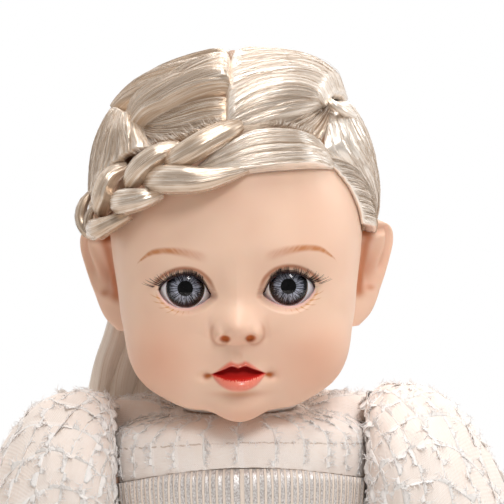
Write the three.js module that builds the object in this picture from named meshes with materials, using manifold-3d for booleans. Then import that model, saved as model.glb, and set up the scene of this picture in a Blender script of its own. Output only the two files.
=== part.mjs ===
// A standing play doll about 46 cm tall: a hollow vinyl head with weighted sleeping eyes and braided hair,
// a hollow vinyl torso, plug-in arms and legs, and a dress with a fringed yoke, puff sleeves and pleated skirt.
// Millimetres, +Z up. The doll faces -Y, its left side is +X, and the origin is on the floor between its shoes.
import * as THREE from "three";
import { mergeVertices } from "three/addons/utils/BufferGeometryUtils.js";
import Module from "manifold-3d";

const wasm = await Module();
wasm.setup();

// Clearances and walls
const GAP = 0.3; // between pieces that touch or turn on each other
const HAIR_GAP = 1.5; // between the scalp and the hair that is rooted in it
const WALL = 3; // moulded vinyl
const CLOTH = 2.6; // dress fabric with its lining and gathers

// Heights of the body, from the floor up
const LEG_LENGTH = 192; // floor to hip axis
const TRUNK_LENGTH = 112; // hip axis to shoulder axis
const NECK_RISE = 34; // shoulder axis to the seat of the head
const HEAD_SEAT = 8.5; // lowest point of the chin to the seat of the head

// Torso
const CHEST_HALF = 43;
const CHEST_DEPTH = 30;
const WAIST_HALF = 38;
const WAIST_DEPTH = 29;
const PELVIS_HALF = 44;
const PELVIS_DEPTH = 33;
const NECK_RADIUS = 15;
const NECK_Y = 2; // the neck stands a little behind the middle of the head
const NECK_STEM_RADIUS = 9;
const NECK_FLANGE_RADIUS = 18.5;
const NECK_FLANGE_HEIGHT = 4;

// Plug-in limb joints
const SHOULDER_X = 44; // flat boss on the torso where the arm turns
const SHOULDER_KNUCKLE = 14;
const SHOULDER_PLUG = 6;
const SHOULDER_FLANGE = 9;
const HIP_X = 14; // flat face of the pelvis where the leg turns
const HIP_KNUCKLE = 26;
const HIP_PLUG = 7;
const HIP_FLANGE = 9.5;
const FLANGE_THICKNESS = 3.6;
const THIGH_DEPTH = 23.5;

// Head, measured from the lowest point of the chin
const FACE_HALF = 43;
const FACE_HEIGHT_HALF = 41;
const FACE_DEPTH = 38;
const CRANIUM_HALF = 46;
const CRANIUM_DEPTH = 50;
const CRANIUM_HEIGHT_HALF = 49;
const CHIN_RADIUS = 10;
const JAW_RADIUS = 10;
const EAR_LENGTH = 36;
const EAR_REACH = 16;
const EAR_THICKNESS = 4.4;
const HAIR_DEPTH = 5.5; // combed hair over the scalp

// Eyes
const EYE_X = 18.2;
const EYE_Y = -31;
const EYE_Z = 47.1;
const EYE_RADIUS = 10.5;
const EYE_OPENING_HALF = 9;
const EYE_OPENING_TOP = 7;
const EYE_OPENING_BOTTOM = 6.4;
const IRIS_RADIUS = 6.6;
const IRIS_THICKNESS = 1;
const LID_THICKNESS = 0.6;
const LID_EDGE_DEG = 26; // how far above straight ahead the open lid's edge stands
const LID_BACK_DEG = 118;
const LASH_REACH = 1.5;
const LASH_HALF = 3.6;
const LASH_THICKNESS = 0.5;
const EYE_AXLE_RADIUS = 0.9;
const EYE_CASE_WALL = 1.3;
const EYE_CASE_BACK = 9;
const WEIGHT_RADIUS = 3.2;
const WEIGHT_LENGTH = 8;

// Dress
const YOKE_SEAM_RISE = 7; // yoke seam above the shoulder axis
const WAIST_RISE = 46; // waist seam above the hip axis
const WAISTBAND_HEIGHT = 8;
const DRESS_SIDE = 47.7; // the sleeves turn on this side plane of the dress
const SKIRT_HEM_Z = 118;
const SKIRT_HEM_RADIUS = 82;
const SKIRT_PLEATS = 20;
const SKIRT_PLEAT_DEPTH = 2.4;
const SKIRT_SLIT = 0.6; // half the gap between the skirt's two halves
const SLEEVE_RISE = 35.5; // top of the puff above the shoulder axis
const SLEEVE_WIDTH = 55; // from the side plane of the dress to the puff's outer edge
const SLEEVE_DROP = 62; // shoulder axis to the cuff
const CUFF_HEIGHT = 7;
const CUFF_RADIUS = 14;

// Shoes
const SOLE_THICKNESS = 4;
const SHOE_HALF = 17;
const SHOE_LENGTH = 70;
const SHOE_HEIGHT = 25;
const SHOE_WALL = 2;
const STRAP_WIDTH = 6;
const STRAP_THICKNESS = 1.6;
const STRAP_Y = -19.5;

// Levels and centres worked out from the sizes above
const HIP_Z = LEG_LENGTH;
const SHOULDER_Z = HIP_Z + TRUNK_LENGTH;
const NECK_SEAT_Z = SHOULDER_Z + NECK_RISE;
const CHIN_Z = NECK_SEAT_Z - HEAD_SEAT;
const YOKE_SEAM_Z = SHOULDER_Z + YOKE_SEAM_RISE;
const WAIST_Z = HIP_Z + WAIST_RISE;
const LEG_X = HIP_X + 12;
const LID_RADIUS = EYE_RADIUS + GAP + LID_THICKNESS;
const EYE_CASE_BORE = LID_RADIUS + 0.8;

// Materials
const finish = (color, roughness, metalness = 0) =>
  new THREE.MeshStandardMaterial({ color, roughness, metalness });
const vinyl = finish(0xecc7ae, 0.5);
const paleHair = finish(0xcdbda8, 0.35);
const creamCloth = finish(0xf5ece6, 0.9);
const silverCloth = finish(0xc9c2be, 0.35, 0.6);
const whitePlastic = finish(0xf2f0f2, 0.25);
const greyBlue = finish(0x7c8699, 0.3);
const clearPlastic = new THREE.MeshStandardMaterial({
  color: 0xffffff,
  roughness: 0.05,
  transparent: true,
  opacity: 0.3,
});
const lashFibre = finish(0x2c1c1a, 0.6);
const steel = finish(0x8c8f94, 0.35, 0.9);
const greyPlastic = finish(0xb9b6b2, 0.55);
const shoeCloth = finish(0xefe6df, 0.6);
const shoeSole = finish(0xd8cec4, 0.7);

// Turns a closed geometry into a solid that can be joined and cut
function solidOf(geometry) {
  const bare = geometry.index ? geometry.clone() : geometry;
  bare.deleteAttribute("normal");
  bare.deleteAttribute("uv");
  const merged = mergeVertices(bare, 1e-4);
  return new wasm.Manifold(
    new wasm.Mesh({
      numProp: 3,
      vertProperties: merged.attributes.position.array,
      triVerts: new Uint32Array(merged.index.array),
    }),
  );
}

function geometryOf(solid) {
  const { vertProperties, triVerts } = solid.getMesh();
  const geometry = new THREE.BufferGeometry();
  geometry.setAttribute("position", new THREE.BufferAttribute(vertProperties, 3));
  geometry.setIndex(new THREE.BufferAttribute(triVerts, 1));
  return geometry;
}

function piece(name, solid, material) {
  const mesh = new THREE.Mesh(geometryOf(solid), material);
  mesh.name = name;
  return mesh;
}

const at = (x, y, z) => new THREE.Vector3(x, y, z);
const joined = (solids) => solids.reduce((whole, next) => whole.add(next));

// Builds a geometry from points and triangles, with its faces pointing out
function closedGeometry(points, triangles) {
  let volume = 0;
  for (let i = 0; i < triangles.length; i += 3) {
    const [a, b, c] = [points[triangles[i]], points[triangles[i + 1]], points[triangles[i + 2]]];
    volume += a.dot(b.clone().cross(c));
  }
  const geometry = new THREE.BufferGeometry().setFromPoints(points);
  geometry.setIndex(volume < 0 ? triangles.slice().reverse() : triangles);
  return geometry;
}

// Skins a row of rings that each have the same number of points, and closes both ends to a point
function loft(rings, startPoint = middleOf(rings[0]), endPoint = middleOf(rings.at(-1))) {
  const count = rings[0].length;
  const points = [...rings.flat(), startPoint, endPoint];
  const triangles = [];
  for (let i = 0; i < count; i++) {
    const j = (i + 1) % count;
    for (let r = 0; r < rings.length - 1; r++) {
      const [a, b, c, d] = [r * count + i, r * count + j, (r + 1) * count + i, (r + 1) * count + j];
      triangles.push(a, b, c, b, d, c);
    }
    const last = (rings.length - 1) * count;
    triangles.push(j, i, points.length - 2, last + i, last + j, points.length - 1);
  }
  return solidOf(closedGeometry(points, triangles));
}

function middleOf(ring) {
  return ring.reduce((sum, p) => sum.add(p), at(0, 0, 0)).divideScalar(ring.length);
}

// A curved plate between two surfaces over the same unit square
function plate(columns, rows, front, back) {
  const points = [];
  for (const side of [front, back])
    for (let r = 0; r <= rows; r++)
      for (let c = 0; c <= columns; c++) points.push(side(c / columns, r / rows));
  const width = columns + 1;
  const other = width * (rows + 1);
  const triangles = [];
  const quad = (a, b, c, d) => triangles.push(a, b, c, a, c, d);
  for (let r = 0; r < rows; r++)
    for (let c = 0; c < columns; c++) {
      const a = r * width + c;
      quad(a, a + 1, a + 1 + width, a + width);
      quad(other + a, other + a + width, other + a + 1 + width, other + a + 1);
    }
  for (let c = 0; c < columns; c++) {
    const top = rows * width + c;
    quad(c, other + c, other + c + 1, c + 1);
    quad(top + 1, other + top + 1, other + top, top);
  }
  for (let r = 0; r < rows; r++) {
    const left = r * width;
    const right = left + columns;
    quad(left + width, other + left + width, other + left, left);
    quad(right, other + right, other + right + width, right + width);
  }
  return solidOf(closedGeometry(points, triangles));
}

// A smooth value through a few stations, held level past both ends
function profile(stations) {
  const slope = (i) => {
    const [before, after] = [stations[Math.max(i - 1, 0)], stations[Math.min(i + 1, stations.length - 1)]];
    return (after[1] - before[1]) / (after[0] - before[0]);
  };
  return (x) => {
    if (x <= stations[0][0]) return stations[0][1];
    if (x >= stations.at(-1)[0]) return stations.at(-1)[1];
    const i = stations.findIndex((s, n) => x >= s[0] && x < stations[n + 1][0]);
    const [[x0, y0], [x1, y1]] = [stations[i], stations[i + 1]];
    const span = x1 - x0;
    const t = (x - x0) / span;
    const [m0, m1] = [slope(i) * span, slope(i + 1) * span];
    return (
      y0 * (1 + 2 * t) * (1 - t) ** 2 + m0 * t * (1 - t) ** 2 +
      y1 * t * t * (3 - 2 * t) + m1 * t * t * (t - 1)
    );
  };
}

// The same smooth value, straight between the torso's levels so that clothes keep an even gap to the body
function sampled(stations) {
  const smooth = profile(stations);
  return (z) => {
    const above = Math.max(TORSO_LEVELS.findIndex((level) => level > z), 1);
    const [low, high] = [TORSO_LEVELS[above - 1], TORSO_LEVELS[above]];
    return THREE.MathUtils.mapLinear(z, low, high, smooth(low), smooth(high));
  };
}

// A level oval ring, squarer as its power rises above 2
function oval(centre, halfWidth, halfDepth, count, power = 2) {
  const soften = (v) => Math.sign(v) * Math.abs(v) ** (2 / power);
  return Array.from({ length: count }, (_, i) => {
    const turn = (2 * Math.PI * i) / count;
    return at(
      centre.x + halfWidth * soften(Math.cos(turn)),
      centre.y + halfDepth * soften(Math.sin(turn)),
      centre.z,
    );
  });
}

// A round solid about the X axis through a point, from stations of [x, radius]
function turnedAboutX(stations, y, z, segments = 18) {
  const inner = stations.filter(([, radius]) => radius > 0);
  const rings = inner.map(([x, radius]) =>
    Array.from({ length: segments }, (_, i) => {
      const turn = (2 * Math.PI * i) / segments;
      return at(x, y + radius * Math.cos(turn), z + radius * Math.sin(turn));
    }),
  );
  return loft(rings, at(stations[0][0], y, z), at(stations.at(-1)[0], y, z));
}

const rodAboutX = (from, to, radius, y, z, segments = 18) =>
  turnedAboutX([[from, radius], [to, radius]], y, z, segments);

// A round solid about an upright axis, from stations of [z, radius]
function turnedAboutZ(stations, x, y, segments = 18) {
  const rings = stations.map(([z, radius]) => oval(at(x, y, z), radius, radius, segments));
  return loft(rings);
}

function block(low, high) {
  const size = high.clone().sub(low);
  const box = new THREE.BoxGeometry(size.x, size.y, size.z);
  return solidOf(box.translate(...low.clone().add(high).divideScalar(2)));
}

// A limb through stations of [centre, half width, half depth], its rings square to the way it runs
function limb(stations, count) {
  const rings = stations.map(([centre, halfWidth, halfDepth], i) => {
    const before = stations[Math.max(i - 1, 0)][0];
    const after = stations[Math.min(i + 1, stations.length - 1)][0];
    const along = after.clone().sub(before).normalize();
    const across = at(0, 1, 0).cross(along).normalize();
    const deep = along.clone().cross(across).normalize();
    return Array.from({ length: count }, (_, k) => {
      const turn = (2 * Math.PI * k) / count;
      const point = centre.clone().addScaledVector(across, halfWidth * Math.cos(turn));
      return point.addScaledVector(deep, halfDepth * Math.sin(turn));
    });
  });
  return loft(rings);
}

// A rounded lock: an ellipsoid laid along a direction, flat against the surface below it
function lock(centre, along, outward, [length, width, thickness]) {
  const x = along.clone().normalize();
  const y = outward.clone().cross(x).normalize();
  const z = x.clone().cross(y);
  const ball = new THREE.SphereGeometry(1, 7, 5);
  ball.scale(length / 2, width / 2, thickness / 2);
  ball.applyMatrix4(new THREE.Matrix4().makeBasis(x, y, z).setPosition(centre));
  return solidOf(ball);
}

// Torso outline at any height, and a ring grown outwards from it for the clothes
const TORSO_LEVELS = [
  ...[-0.24, -0.16, -0.05, 0.08, 0.23, 0.41, 0.62, 0.82, 1].map((share) => HIP_Z + share * TRUNK_LENGTH),
  ...[7.84, 15.68, 21.28, 26.88].map((rise) => SHOULDER_Z + rise),
];
const torsoHalf = sampled([
  [HIP_Z - 0.24 * TRUNK_LENGTH, 10],
  [HIP_Z - 0.16 * TRUNK_LENGTH, 0.6 * PELVIS_HALF],
  [HIP_Z + 0.08 * TRUNK_LENGTH, PELVIS_HALF],
  [HIP_Z + 0.23 * TRUNK_LENGTH, 0.97 * PELVIS_HALF],
  [WAIST_Z, WAIST_HALF],
  [HIP_Z + 0.82 * TRUNK_LENGTH, 0.98 * CHEST_HALF],
  [SHOULDER_Z, CHEST_HALF],
  [SHOULDER_Z + 8, 0.95 * CHEST_HALF],
  [SHOULDER_Z + 16, 0.76 * CHEST_HALF],
  [SHOULDER_Z + 22, 0.5 * CHEST_HALF],
  [SHOULDER_Z + 27, NECK_RADIUS + 1],
]);
const torsoDepth = sampled([
  [HIP_Z - 0.24 * TRUNK_LENGTH, 13],
  [HIP_Z - 0.16 * TRUNK_LENGTH, 0.72 * PELVIS_DEPTH],
  [HIP_Z + 0.08 * TRUNK_LENGTH, PELVIS_DEPTH],
  [HIP_Z + 0.23 * TRUNK_LENGTH, PELVIS_DEPTH],
  [WAIST_Z, WAIST_DEPTH],
  [HIP_Z + 0.82 * TRUNK_LENGTH, CHEST_DEPTH],
  [SHOULDER_Z, 0.93 * CHEST_DEPTH],
  [SHOULDER_Z + 8, 0.8 * CHEST_DEPTH],
  [SHOULDER_Z + 16, 0.68 * CHEST_DEPTH],
  [SHOULDER_Z + 22, 0.6 * CHEST_DEPTH],
  [SHOULDER_Z + 27, NECK_RADIUS + 1],
]);
const torsoRing = (z, grow = 0, count = 18) =>
  oval(at(0, 0, z), torsoHalf(z) + grow, torsoDepth(z) + grow, count, 2.3);

// The torso's levels between two heights, with both ends
const torsoLevels = (from, to) => [from, ...TORSO_LEVELS.filter((z) => z > from + 1 && z < to - 1), to];

function levels(from, to, steps) {
  return Array.from({ length: steps + 1 }, (_, i) => from + ((to - from) * i) / steps);
}

// Torso: a hollow moulding with cups for the arm plugs, a slab between the legs and a stub for the neck
const HOLLOW_FLOOR = HIP_Z + HIP_KNUCKLE + WALL + 1;
const HOLLOW_ROOF = SHOULDER_Z + 18;
const NECK_STUB_TOP = NECK_SEAT_Z - GAP;

// The space a leg turns through: its knuckle, and the thigh swung forwards to sitting or a little back
function legRoom(side) {
  const [low, high] = [Math.min(side * HIP_X, side * 90), Math.max(side * HIP_X, side * 90)];
  const knuckle = rodAboutX(side * HIP_X, side * 90, HIP_KNUCKLE + 2 * GAP, 0, HIP_Z, 28);
  const ahead = block(at(low, -90, HIP_Z - 60), at(high, 0, HIP_Z + THIGH_DEPTH + 1));
  const behind = block(at(low, -1, HIP_Z - 60), at(high, 90, HIP_Z + 0.55 * THIGH_DEPTH));
  return joined([knuckle, ahead, behind]);
}

function torsoShell() {
  const trunk = loft(torsoLevels(HIP_Z - 0.24 * TRUNK_LENGTH, SHOULDER_Z + 26).map((z) => torsoRing(z)));
  const stub = turnedAboutZ([[SHOULDER_Z + 18, NECK_RADIUS], [NECK_STUB_TOP, NECK_RADIUS]], 0, NECK_Y);
  const hollow = loft(torsoLevels(HOLLOW_FLOOR, HOLLOW_ROOF).map((z) => torsoRing(z, -WALL, 16)));
  const stemBore = turnedAboutZ(
    [[HOLLOW_ROOF - 8, NECK_STEM_RADIUS + GAP], [NECK_STUB_TOP + 1, NECK_STEM_RADIUS + GAP]], 0, NECK_Y, 20);
  let shell = trunk.add(stub);
  for (const side of [1, -1]) {
    const boss = rodAboutX(side * (SHOULDER_X - 9), side * SHOULDER_X, SHOULDER_FLANGE + WALL, 0, SHOULDER_Z);
    const beyond = block(
      at(Math.min(side * SHOULDER_X, side * 90), -60, SHOULDER_Z - 40),
      at(Math.max(side * SHOULDER_X, side * 90), 60, SHOULDER_Z + 40),
    );
    shell = shell.add(boss).subtract(beyond);
  }
  shell = shell.subtract(hollow).subtract(stemBore);
  for (const side of [1, -1]) {
    const inside = side * (SHOULDER_X - WALL);
    const cup = rodAboutX(side * (SHOULDER_X - 12), inside, SHOULDER_FLANGE + 2 * GAP, 0, SHOULDER_Z, 14);
    const hole = rodAboutX(inside - side, side * (SHOULDER_X + 1), SHOULDER_PLUG + GAP, 0, SHOULDER_Z, 14);
    shell = shell.subtract(cup).subtract(hole).subtract(legRoom(side));
  }
  const crotch = block(at(-HIP_X - GAP, -60, HIP_Z - 60), at(HIP_X + GAP, 60, HIP_Z + THIGH_DEPTH + 1));
  const slab = rodAboutX(-HIP_X - 1, HIP_X + 1, HIP_KNUCKLE, 0, HIP_Z, 28);
  const hipCup = rodAboutX(-(HIP_X - WALL), HIP_X - WALL, HIP_FLANGE + 2 * GAP, 0, HIP_Z, 14);
  const hipHole = rodAboutX(-HIP_X - 1, HIP_X + 1, HIP_PLUG + GAP, 0, HIP_Z, 14);
  return shell.subtract(crotch.subtract(slab)).subtract(hipCup).subtract(hipHole);
}

// Neck joint: a stem that plugs into the torso and a flange that the head turns under
const NECK_WALL = 3.5; // the head's floor that the flange holds down

function neckJoint() {
  const flangeZ = NECK_SEAT_Z + NECK_WALL + GAP;
  return turnedAboutZ(
    [
      [HOLLOW_ROOF - 6, NECK_STEM_RADIUS],
      [flangeZ, NECK_STEM_RADIUS],
      [flangeZ + 0.01, NECK_FLANGE_RADIUS],
      [flangeZ + NECK_FLANGE_HEIGHT - 1, NECK_FLANGE_RADIUS],
      [flangeZ + NECK_FLANGE_HEIGHT, NECK_FLANGE_RADIUS - 1.5],
    ],
    0,
    NECK_Y,
  );
}

// Head form: rounded masses that flow into each other, seen from a point inside the head
const HEAD_CORE = at(0, -2, 40);
const HEAD_MASSES = [
  { centre: at(0, 6, 76), axes: [CRANIUM_HALF, CRANIUM_DEPTH, CRANIUM_HEIGHT_HALF], power: 2, flow: 12 },
  { centre: at(0, -8, 46), axes: [FACE_HALF, FACE_DEPTH, FACE_HEIGHT_HALF], power: 2.5, flow: 12 },
  { centre: at(20, -22, 24.5), axes: [17.5, 17.5, 17.5], power: 2, flow: 6 },
  { centre: at(-20, -22, 24.5), axes: [17.5, 17.5, 17.5], power: 2, flow: 6 },
  { centre: at(13, -29, 14), axes: [JAW_RADIUS, JAW_RADIUS, JAW_RADIUS], power: 2, flow: 7 },
  { centre: at(-13, -29, 14), axes: [JAW_RADIUS, JAW_RADIUS, JAW_RADIUS], power: 2, flow: 7 },
  { centre: at(0, -34.5, CHIN_RADIUS), axes: [CHIN_RADIUS, CHIN_RADIUS, CHIN_RADIUS], power: 2, flow: 9 },
];

// Features of the face: distance from the middle, height, spread across and up, and how far they stand forward
const FACE_RELIEF = [
  { across: EYE_X, up: EYE_Z, wide: 9, tall: 7, forward: -1.6 },
  { across: 8.5, up: EYE_Z - 1, wide: 3.6, tall: 5.5, forward: -2.6 },
  { across: EYE_X, up: 60, wide: 10, tall: 3.5, forward: 0.8 },
  { across: 0, up: 42, wide: 3.6, tall: 8, forward: 2 },
  { across: 0, up: 33, wide: 4.7, tall: 3.8, forward: 9 },
  { across: 6.5, up: 31, wide: 2.5, tall: 2.4, forward: 4.8 },
  { across: 0, up: 16.5, wide: 11, tall: 8, forward: 3 },
  { across: 3.2, up: 19.8, wide: 3.6, tall: 1.7, forward: 1.8 },
  { across: 0, up: 12.9, wide: 5.6, tall: 2, forward: 2.6 },
  { across: 0, up: 17.2, wide: 5.5, tall: 1.6, forward: -2.6 },
  { across: 12.2, up: 16.2, wide: 1.8, tall: 1.6, forward: -1.4 },
  { across: 0, up: 8.4, wide: 7, tall: 1.9, forward: -1.6 },
  { across: 25, up: 27, wide: 9, tall: 9, forward: 1.2 },
];

function massDepth(point, { centre, axes, power }) {
  const [x, y, z] = point.clone().sub(centre).toArray().map((v, i) => Math.abs(v / axes[i]) ** power);
  return ((x + y + z) ** (1 / power) - 1) * Math.min(...axes);
}

function headDepth(point) {
  return HEAD_MASSES.reduce((whole, mass) => {
    const next = massDepth(point, mass);
    const blend = Math.max(mass.flow - Math.abs(whole - next), 0) / mass.flow;
    return Math.min(whole, next) - (blend * blend * mass.flow) / 4;
  }, Infinity);
}

function faceRelief(x, z, keep) {
  return FACE_RELIEF.filter(keep).reduce((sum, { across, up, wide, tall, forward }) => {
    const far = ((Math.abs(x) - across) / wide) ** 2 + ((z - up) / tall) ** 2;
    return sum + forward * Math.exp(-far / 2);
  }, 0);
}

// The skin along a line from the head's core, grown outwards by a distance
function headPoint(direction, grow, keep) {
  let [near, far] = [0, 140];
  for (let i = 0; i < 30; i++) {
    const middle = (near + far) / 2;
    const inside = headDepth(HEAD_CORE.clone().addScaledVector(direction, middle)) < grow;
    [near, far] = inside ? [middle, far] : [near, middle];
  }
  const point = HEAD_CORE.clone().addScaledVector(direction, near);
  const facing = THREE.MathUtils.smoothstep(-point.y, 8, 26);
  point.y -= facing * faceRelief(point.x, point.z, keep);
  return point;
}

const anyFeature = () => true;
const hollowFeature = ({ forward }) => forward < 0;
const noFeature = () => false;

// The whole head as a closed form. Columns can crowd towards the face and rows towards the nose and mouth.
const CROWDED_ROW = THREE.MathUtils.degToRad(110);

function headForm(columns, rows, crowd, grow, keep) {
  const rings = [];
  for (let r = 1; r < rows; r++) {
    const v = (Math.PI * r) / rows;
    const fall = v - 0.5 * crowd * (Math.sin(2 * (v - CROWDED_ROW)) + Math.sin(2 * CROWDED_ROW));
    rings.push(
      Array.from({ length: columns }, (_, c) => {
        const u = (2 * Math.PI * c) / columns - Math.PI;
        const turn = u - crowd * Math.sin(u);
        const level = Math.sin(fall);
        return headPoint(at(level * Math.sin(turn), -level * Math.cos(turn), Math.cos(fall)), grow, keep);
      }),
    );
  }
  return loft(rings, headPoint(at(0, 0, 1), grow, keep), headPoint(at(0, 0, -1), grow, keep));
}

// A point on the head's side at a height and a turn from straight ahead, lifted off the skin
function scalpPoint(turnDeg, z, lift) {
  const turn = THREE.MathUtils.degToRad(turnDeg);
  const outward = at(Math.sin(turn), -Math.cos(turn), 0);
  let [near, far] = [0, 120];
  for (let i = 0; i < 30; i++) {
    const middle = (near + far) / 2;
    const inside = headDepth(at(0, 0, z).addScaledVector(outward, middle)) < lift;
    [near, far] = inside ? [middle, far] : [near, middle];
  }
  return at(0, 0, z).addScaledVector(outward, near);
}

// The way out of the head at a point, from how fast the depth grows
function outwardAt(point) {
  const step = 0.5;
  const rise = (axis) => headDepth(point.clone().addScaledVector(axis, step)) - headDepth(point);
  return at(rise(at(1, 0, 0)), rise(at(0, 1, 0)), rise(at(0, 0, 1))).normalize();
}

// An eye opening through the face, taller above its middle than below
function eyeOpening(side) {
  const count = 18;
  const outline = Array.from({ length: count }, (_, i) => {
    const turn = (2 * Math.PI * i) / count;
    const half = Math.sin(turn) > 0 ? EYE_OPENING_TOP : EYE_OPENING_BOTTOM;
    return new THREE.Vector2(side * EYE_X + EYE_OPENING_HALF * Math.cos(turn), EYE_Z + half * Math.sin(turn));
  });
  const cut = new THREE.ExtrudeGeometry(new THREE.Shape(outline), { depth: 40, bevelEnabled: false });
  return solidOf(cut.rotateX(Math.PI / 2).translate(0, EYE_Y, 0));
}

// Ear: a thin cupped flap, wide at the top and narrow at the lobe, that leans out and back from the head
const EAR_LOBE_Z = 31.5;
const EAR_LEAN = THREE.MathUtils.degToRad(42);
const earReach = profile([
  [0, 0.34], [0.1, 0.62], [0.22, 0.76], [0.4, 0.86], [0.6, 0.95], [0.8, 1], [0.93, 0.86], [1, 0.45],
]);

function ear(side) {
  const out = at(side * Math.cos(EAR_LEAN), Math.sin(EAR_LEAN), 0);
  const deep = at(-side * Math.sin(EAR_LEAN), Math.cos(EAR_LEAN), 0);
  const root = 4;
  const rings = levels(0, 1, 7).map((share) => {
    const z = EAR_LOBE_Z + share * EAR_LENGTH;
    const half = (EAR_REACH * earReach(share) + root) / 2;
    const base = scalpPoint(side * 94, z, 0).addScaledVector(out, half - root);
    return Array.from({ length: 10 }, (_, i) => {
      const turn = (2 * Math.PI * i) / 10;
      const point = base.clone().addScaledVector(out, half * Math.cos(turn));
      return point.addScaledVector(deep, (EAR_THICKNESS / 2) * Math.sin(turn));
    });
  });
  const bowl = new THREE.SphereGeometry(1, 10, 6);
  bowl.scale(0.32 * EAR_REACH, 2.6, 0.27 * EAR_LENGTH);
  bowl.rotateZ(side * EAR_LEAN);
  const middle = scalpPoint(side * 94, EAR_LOBE_Z + 0.58 * EAR_LENGTH, 0).addScaledVector(out, 0.38 * EAR_REACH);
  middle.addScaledVector(deep, -0.75 * EAR_THICKNESS);
  bowl.translate(...middle);
  return loft(rings).subtract(solidOf(bowl));
}

const headSkin = headForm(30, 27, 0.6, 0, anyFeature);
const headHollow = headForm(14, 10, 0.1, -WALL, hollowFeature);

function headShell() {
  let shell = headSkin.subtract(headHollow);
  for (const side of [1, -1]) {
    const socket = new THREE.SphereGeometry(LID_RADIUS + 1, 14, 8).translate(side * EYE_X, EYE_Y, EYE_Z);
    shell = shell.add(ear(side).subtract(headHollow));
    shell = shell.subtract(solidOf(socket)).subtract(eyeOpening(side));
  }
  const seat = HEAD_SEAT;
  const under = turnedAboutZ([[-20, NECK_FLANGE_RADIUS + 1], [seat, NECK_FLANGE_RADIUS + 1]], 0, NECK_Y);
  const floor = turnedAboutZ([[seat, NECK_FLANGE_RADIUS + 3], [seat + NECK_WALL, NECK_FLANGE_RADIUS + 3]], 0, NECK_Y);
  const room = turnedAboutZ(
    [[seat + NECK_WALL, NECK_FLANGE_RADIUS + 1], [seat + NECK_WALL + 9, NECK_FLANGE_RADIUS + 1]], 0, NECK_Y);
  const bore = turnedAboutZ([[seat - 2, NECK_STEM_RADIUS + GAP], [seat + 20, NECK_STEM_RADIUS + GAP]], 0, NECK_Y);
  return shell.add(floor.intersect(headSkin)).subtract(under).subtract(room).subtract(bore);
}

// Eye case: a short tube glued behind the eye opening, with a hole on each side for the axle
function eyeCase(side) {
  const ring = (radius) => {
    const tube = new THREE.CylinderGeometry(radius, radius, 60, 16);
    return solidOf(tube.translate(side * EYE_X, EYE_Y + EYE_CASE_BACK - 30, EYE_Z));
  };
  const tube = ring(EYE_CASE_BORE + EYE_CASE_WALL).subtract(ring(EYE_CASE_BORE));
  const axleHole = rodAboutX(
    side * EYE_X - 20, side * EYE_X + 20, EYE_AXLE_RADIUS + GAP, EYE_Y, EYE_Z, 8);
  const room = headForm(14, 10, 0.1, -WALL - GAP, hollowFeature);
  return tube.intersect(room).subtract(axleHole);
}

// Pieces of one eye, about its own centre: the ball, its iris, cornea, lid, lashes, axle and weight
const ballPoint = (radius, riseDeg, sideDeg) => {
  const [rise, across] = [riseDeg, sideDeg].map(THREE.MathUtils.degToRad);
  return at(
    radius * Math.sin(across),
    -radius * Math.cos(across) * Math.cos(rise),
    radius * Math.cos(across) * Math.sin(rise),
  );
};
const IRIS_Y = -Math.sqrt(EYE_RADIUS ** 2 - IRIS_RADIUS ** 2) + 0.6;
const WEIGHT_Y = 10;
const WEIGHT_Z = -6.5;

function alongY(fromY, toY, radius, segments = 16) {
  const rod = new THREE.CylinderGeometry(radius, radius, Math.abs(toY - fromY), segments);
  return solidOf(rod.translate(0, (fromY + toY) / 2, 0));
}

function eyeball() {
  const ball = solidOf(new THREE.SphereGeometry(EYE_RADIUS, 12, 8).rotateX(Math.PI / 2));
  const seat = alongY(-EYE_RADIUS - 2, IRIS_Y + IRIS_THICKNESS + GAP, IRIS_RADIUS + GAP);
  const axleHole = rodAboutX(-EYE_RADIUS - 1, EYE_RADIUS + 1, EYE_AXLE_RADIUS + GAP, 0, 0, 8);
  const flat = block(at(-12, 0.6 * EYE_RADIUS, -12), at(12, 12, 12));
  return ball.subtract(seat).subtract(axleHole).subtract(flat);
}

const iris = () => alongY(IRIS_Y, IRIS_Y + IRIS_THICKNESS, IRIS_RADIUS);

function cornea() {
  const dome = new THREE.SphereGeometry(EYE_RADIUS, 18, 12).rotateX(Math.PI / 2);
  return solidOf(dome).intersect(alongY(-EYE_RADIUS - 2, IRIS_Y - GAP, IRIS_RADIUS));
}

function eyelid() {
  const over = (radius) => (u, v) =>
    ballPoint(radius, LID_EDGE_DEG + v * (LID_BACK_DEG - LID_EDGE_DEG), -56 + 112 * u);
  return plate(7, 5, over(LID_RADIUS), over(LID_RADIUS - LID_THICKNESS));
}

function lashes() {
  const spread = THREE.MathUtils.radToDeg(Math.asin(LASH_HALF / LID_RADIUS));
  const half = THREE.MathUtils.radToDeg(LASH_THICKNESS / 2 / LID_RADIUS);
  const fan = (lift) => (u, v) =>
    ballPoint(LID_RADIUS + GAP / 2 + v * LASH_REACH, LID_EDGE_DEG + half + lift * half, spread * (2 * u - 1));
  return plate(6, 1, fan(1), fan(-1));
}

const eyeAxle = () =>
  rodAboutX(-EYE_CASE_BORE - EYE_CASE_WALL / 2, EYE_CASE_BORE + EYE_CASE_WALL / 2, EYE_AXLE_RADIUS, 0, 0, 8);

function eyeWeight() {
  const bob = rodAboutX(-WEIGHT_LENGTH / 2, WEIGHT_LENGTH / 2, WEIGHT_RADIUS, WEIGHT_Y, WEIGHT_Z, 14);
  const stem = block(at(-1.5, 0.6 * EYE_RADIUS + GAP, WEIGHT_Z), at(1.5, WEIGHT_Y, WEIGHT_Z + 3));
  return bob.add(stem);
}

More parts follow.
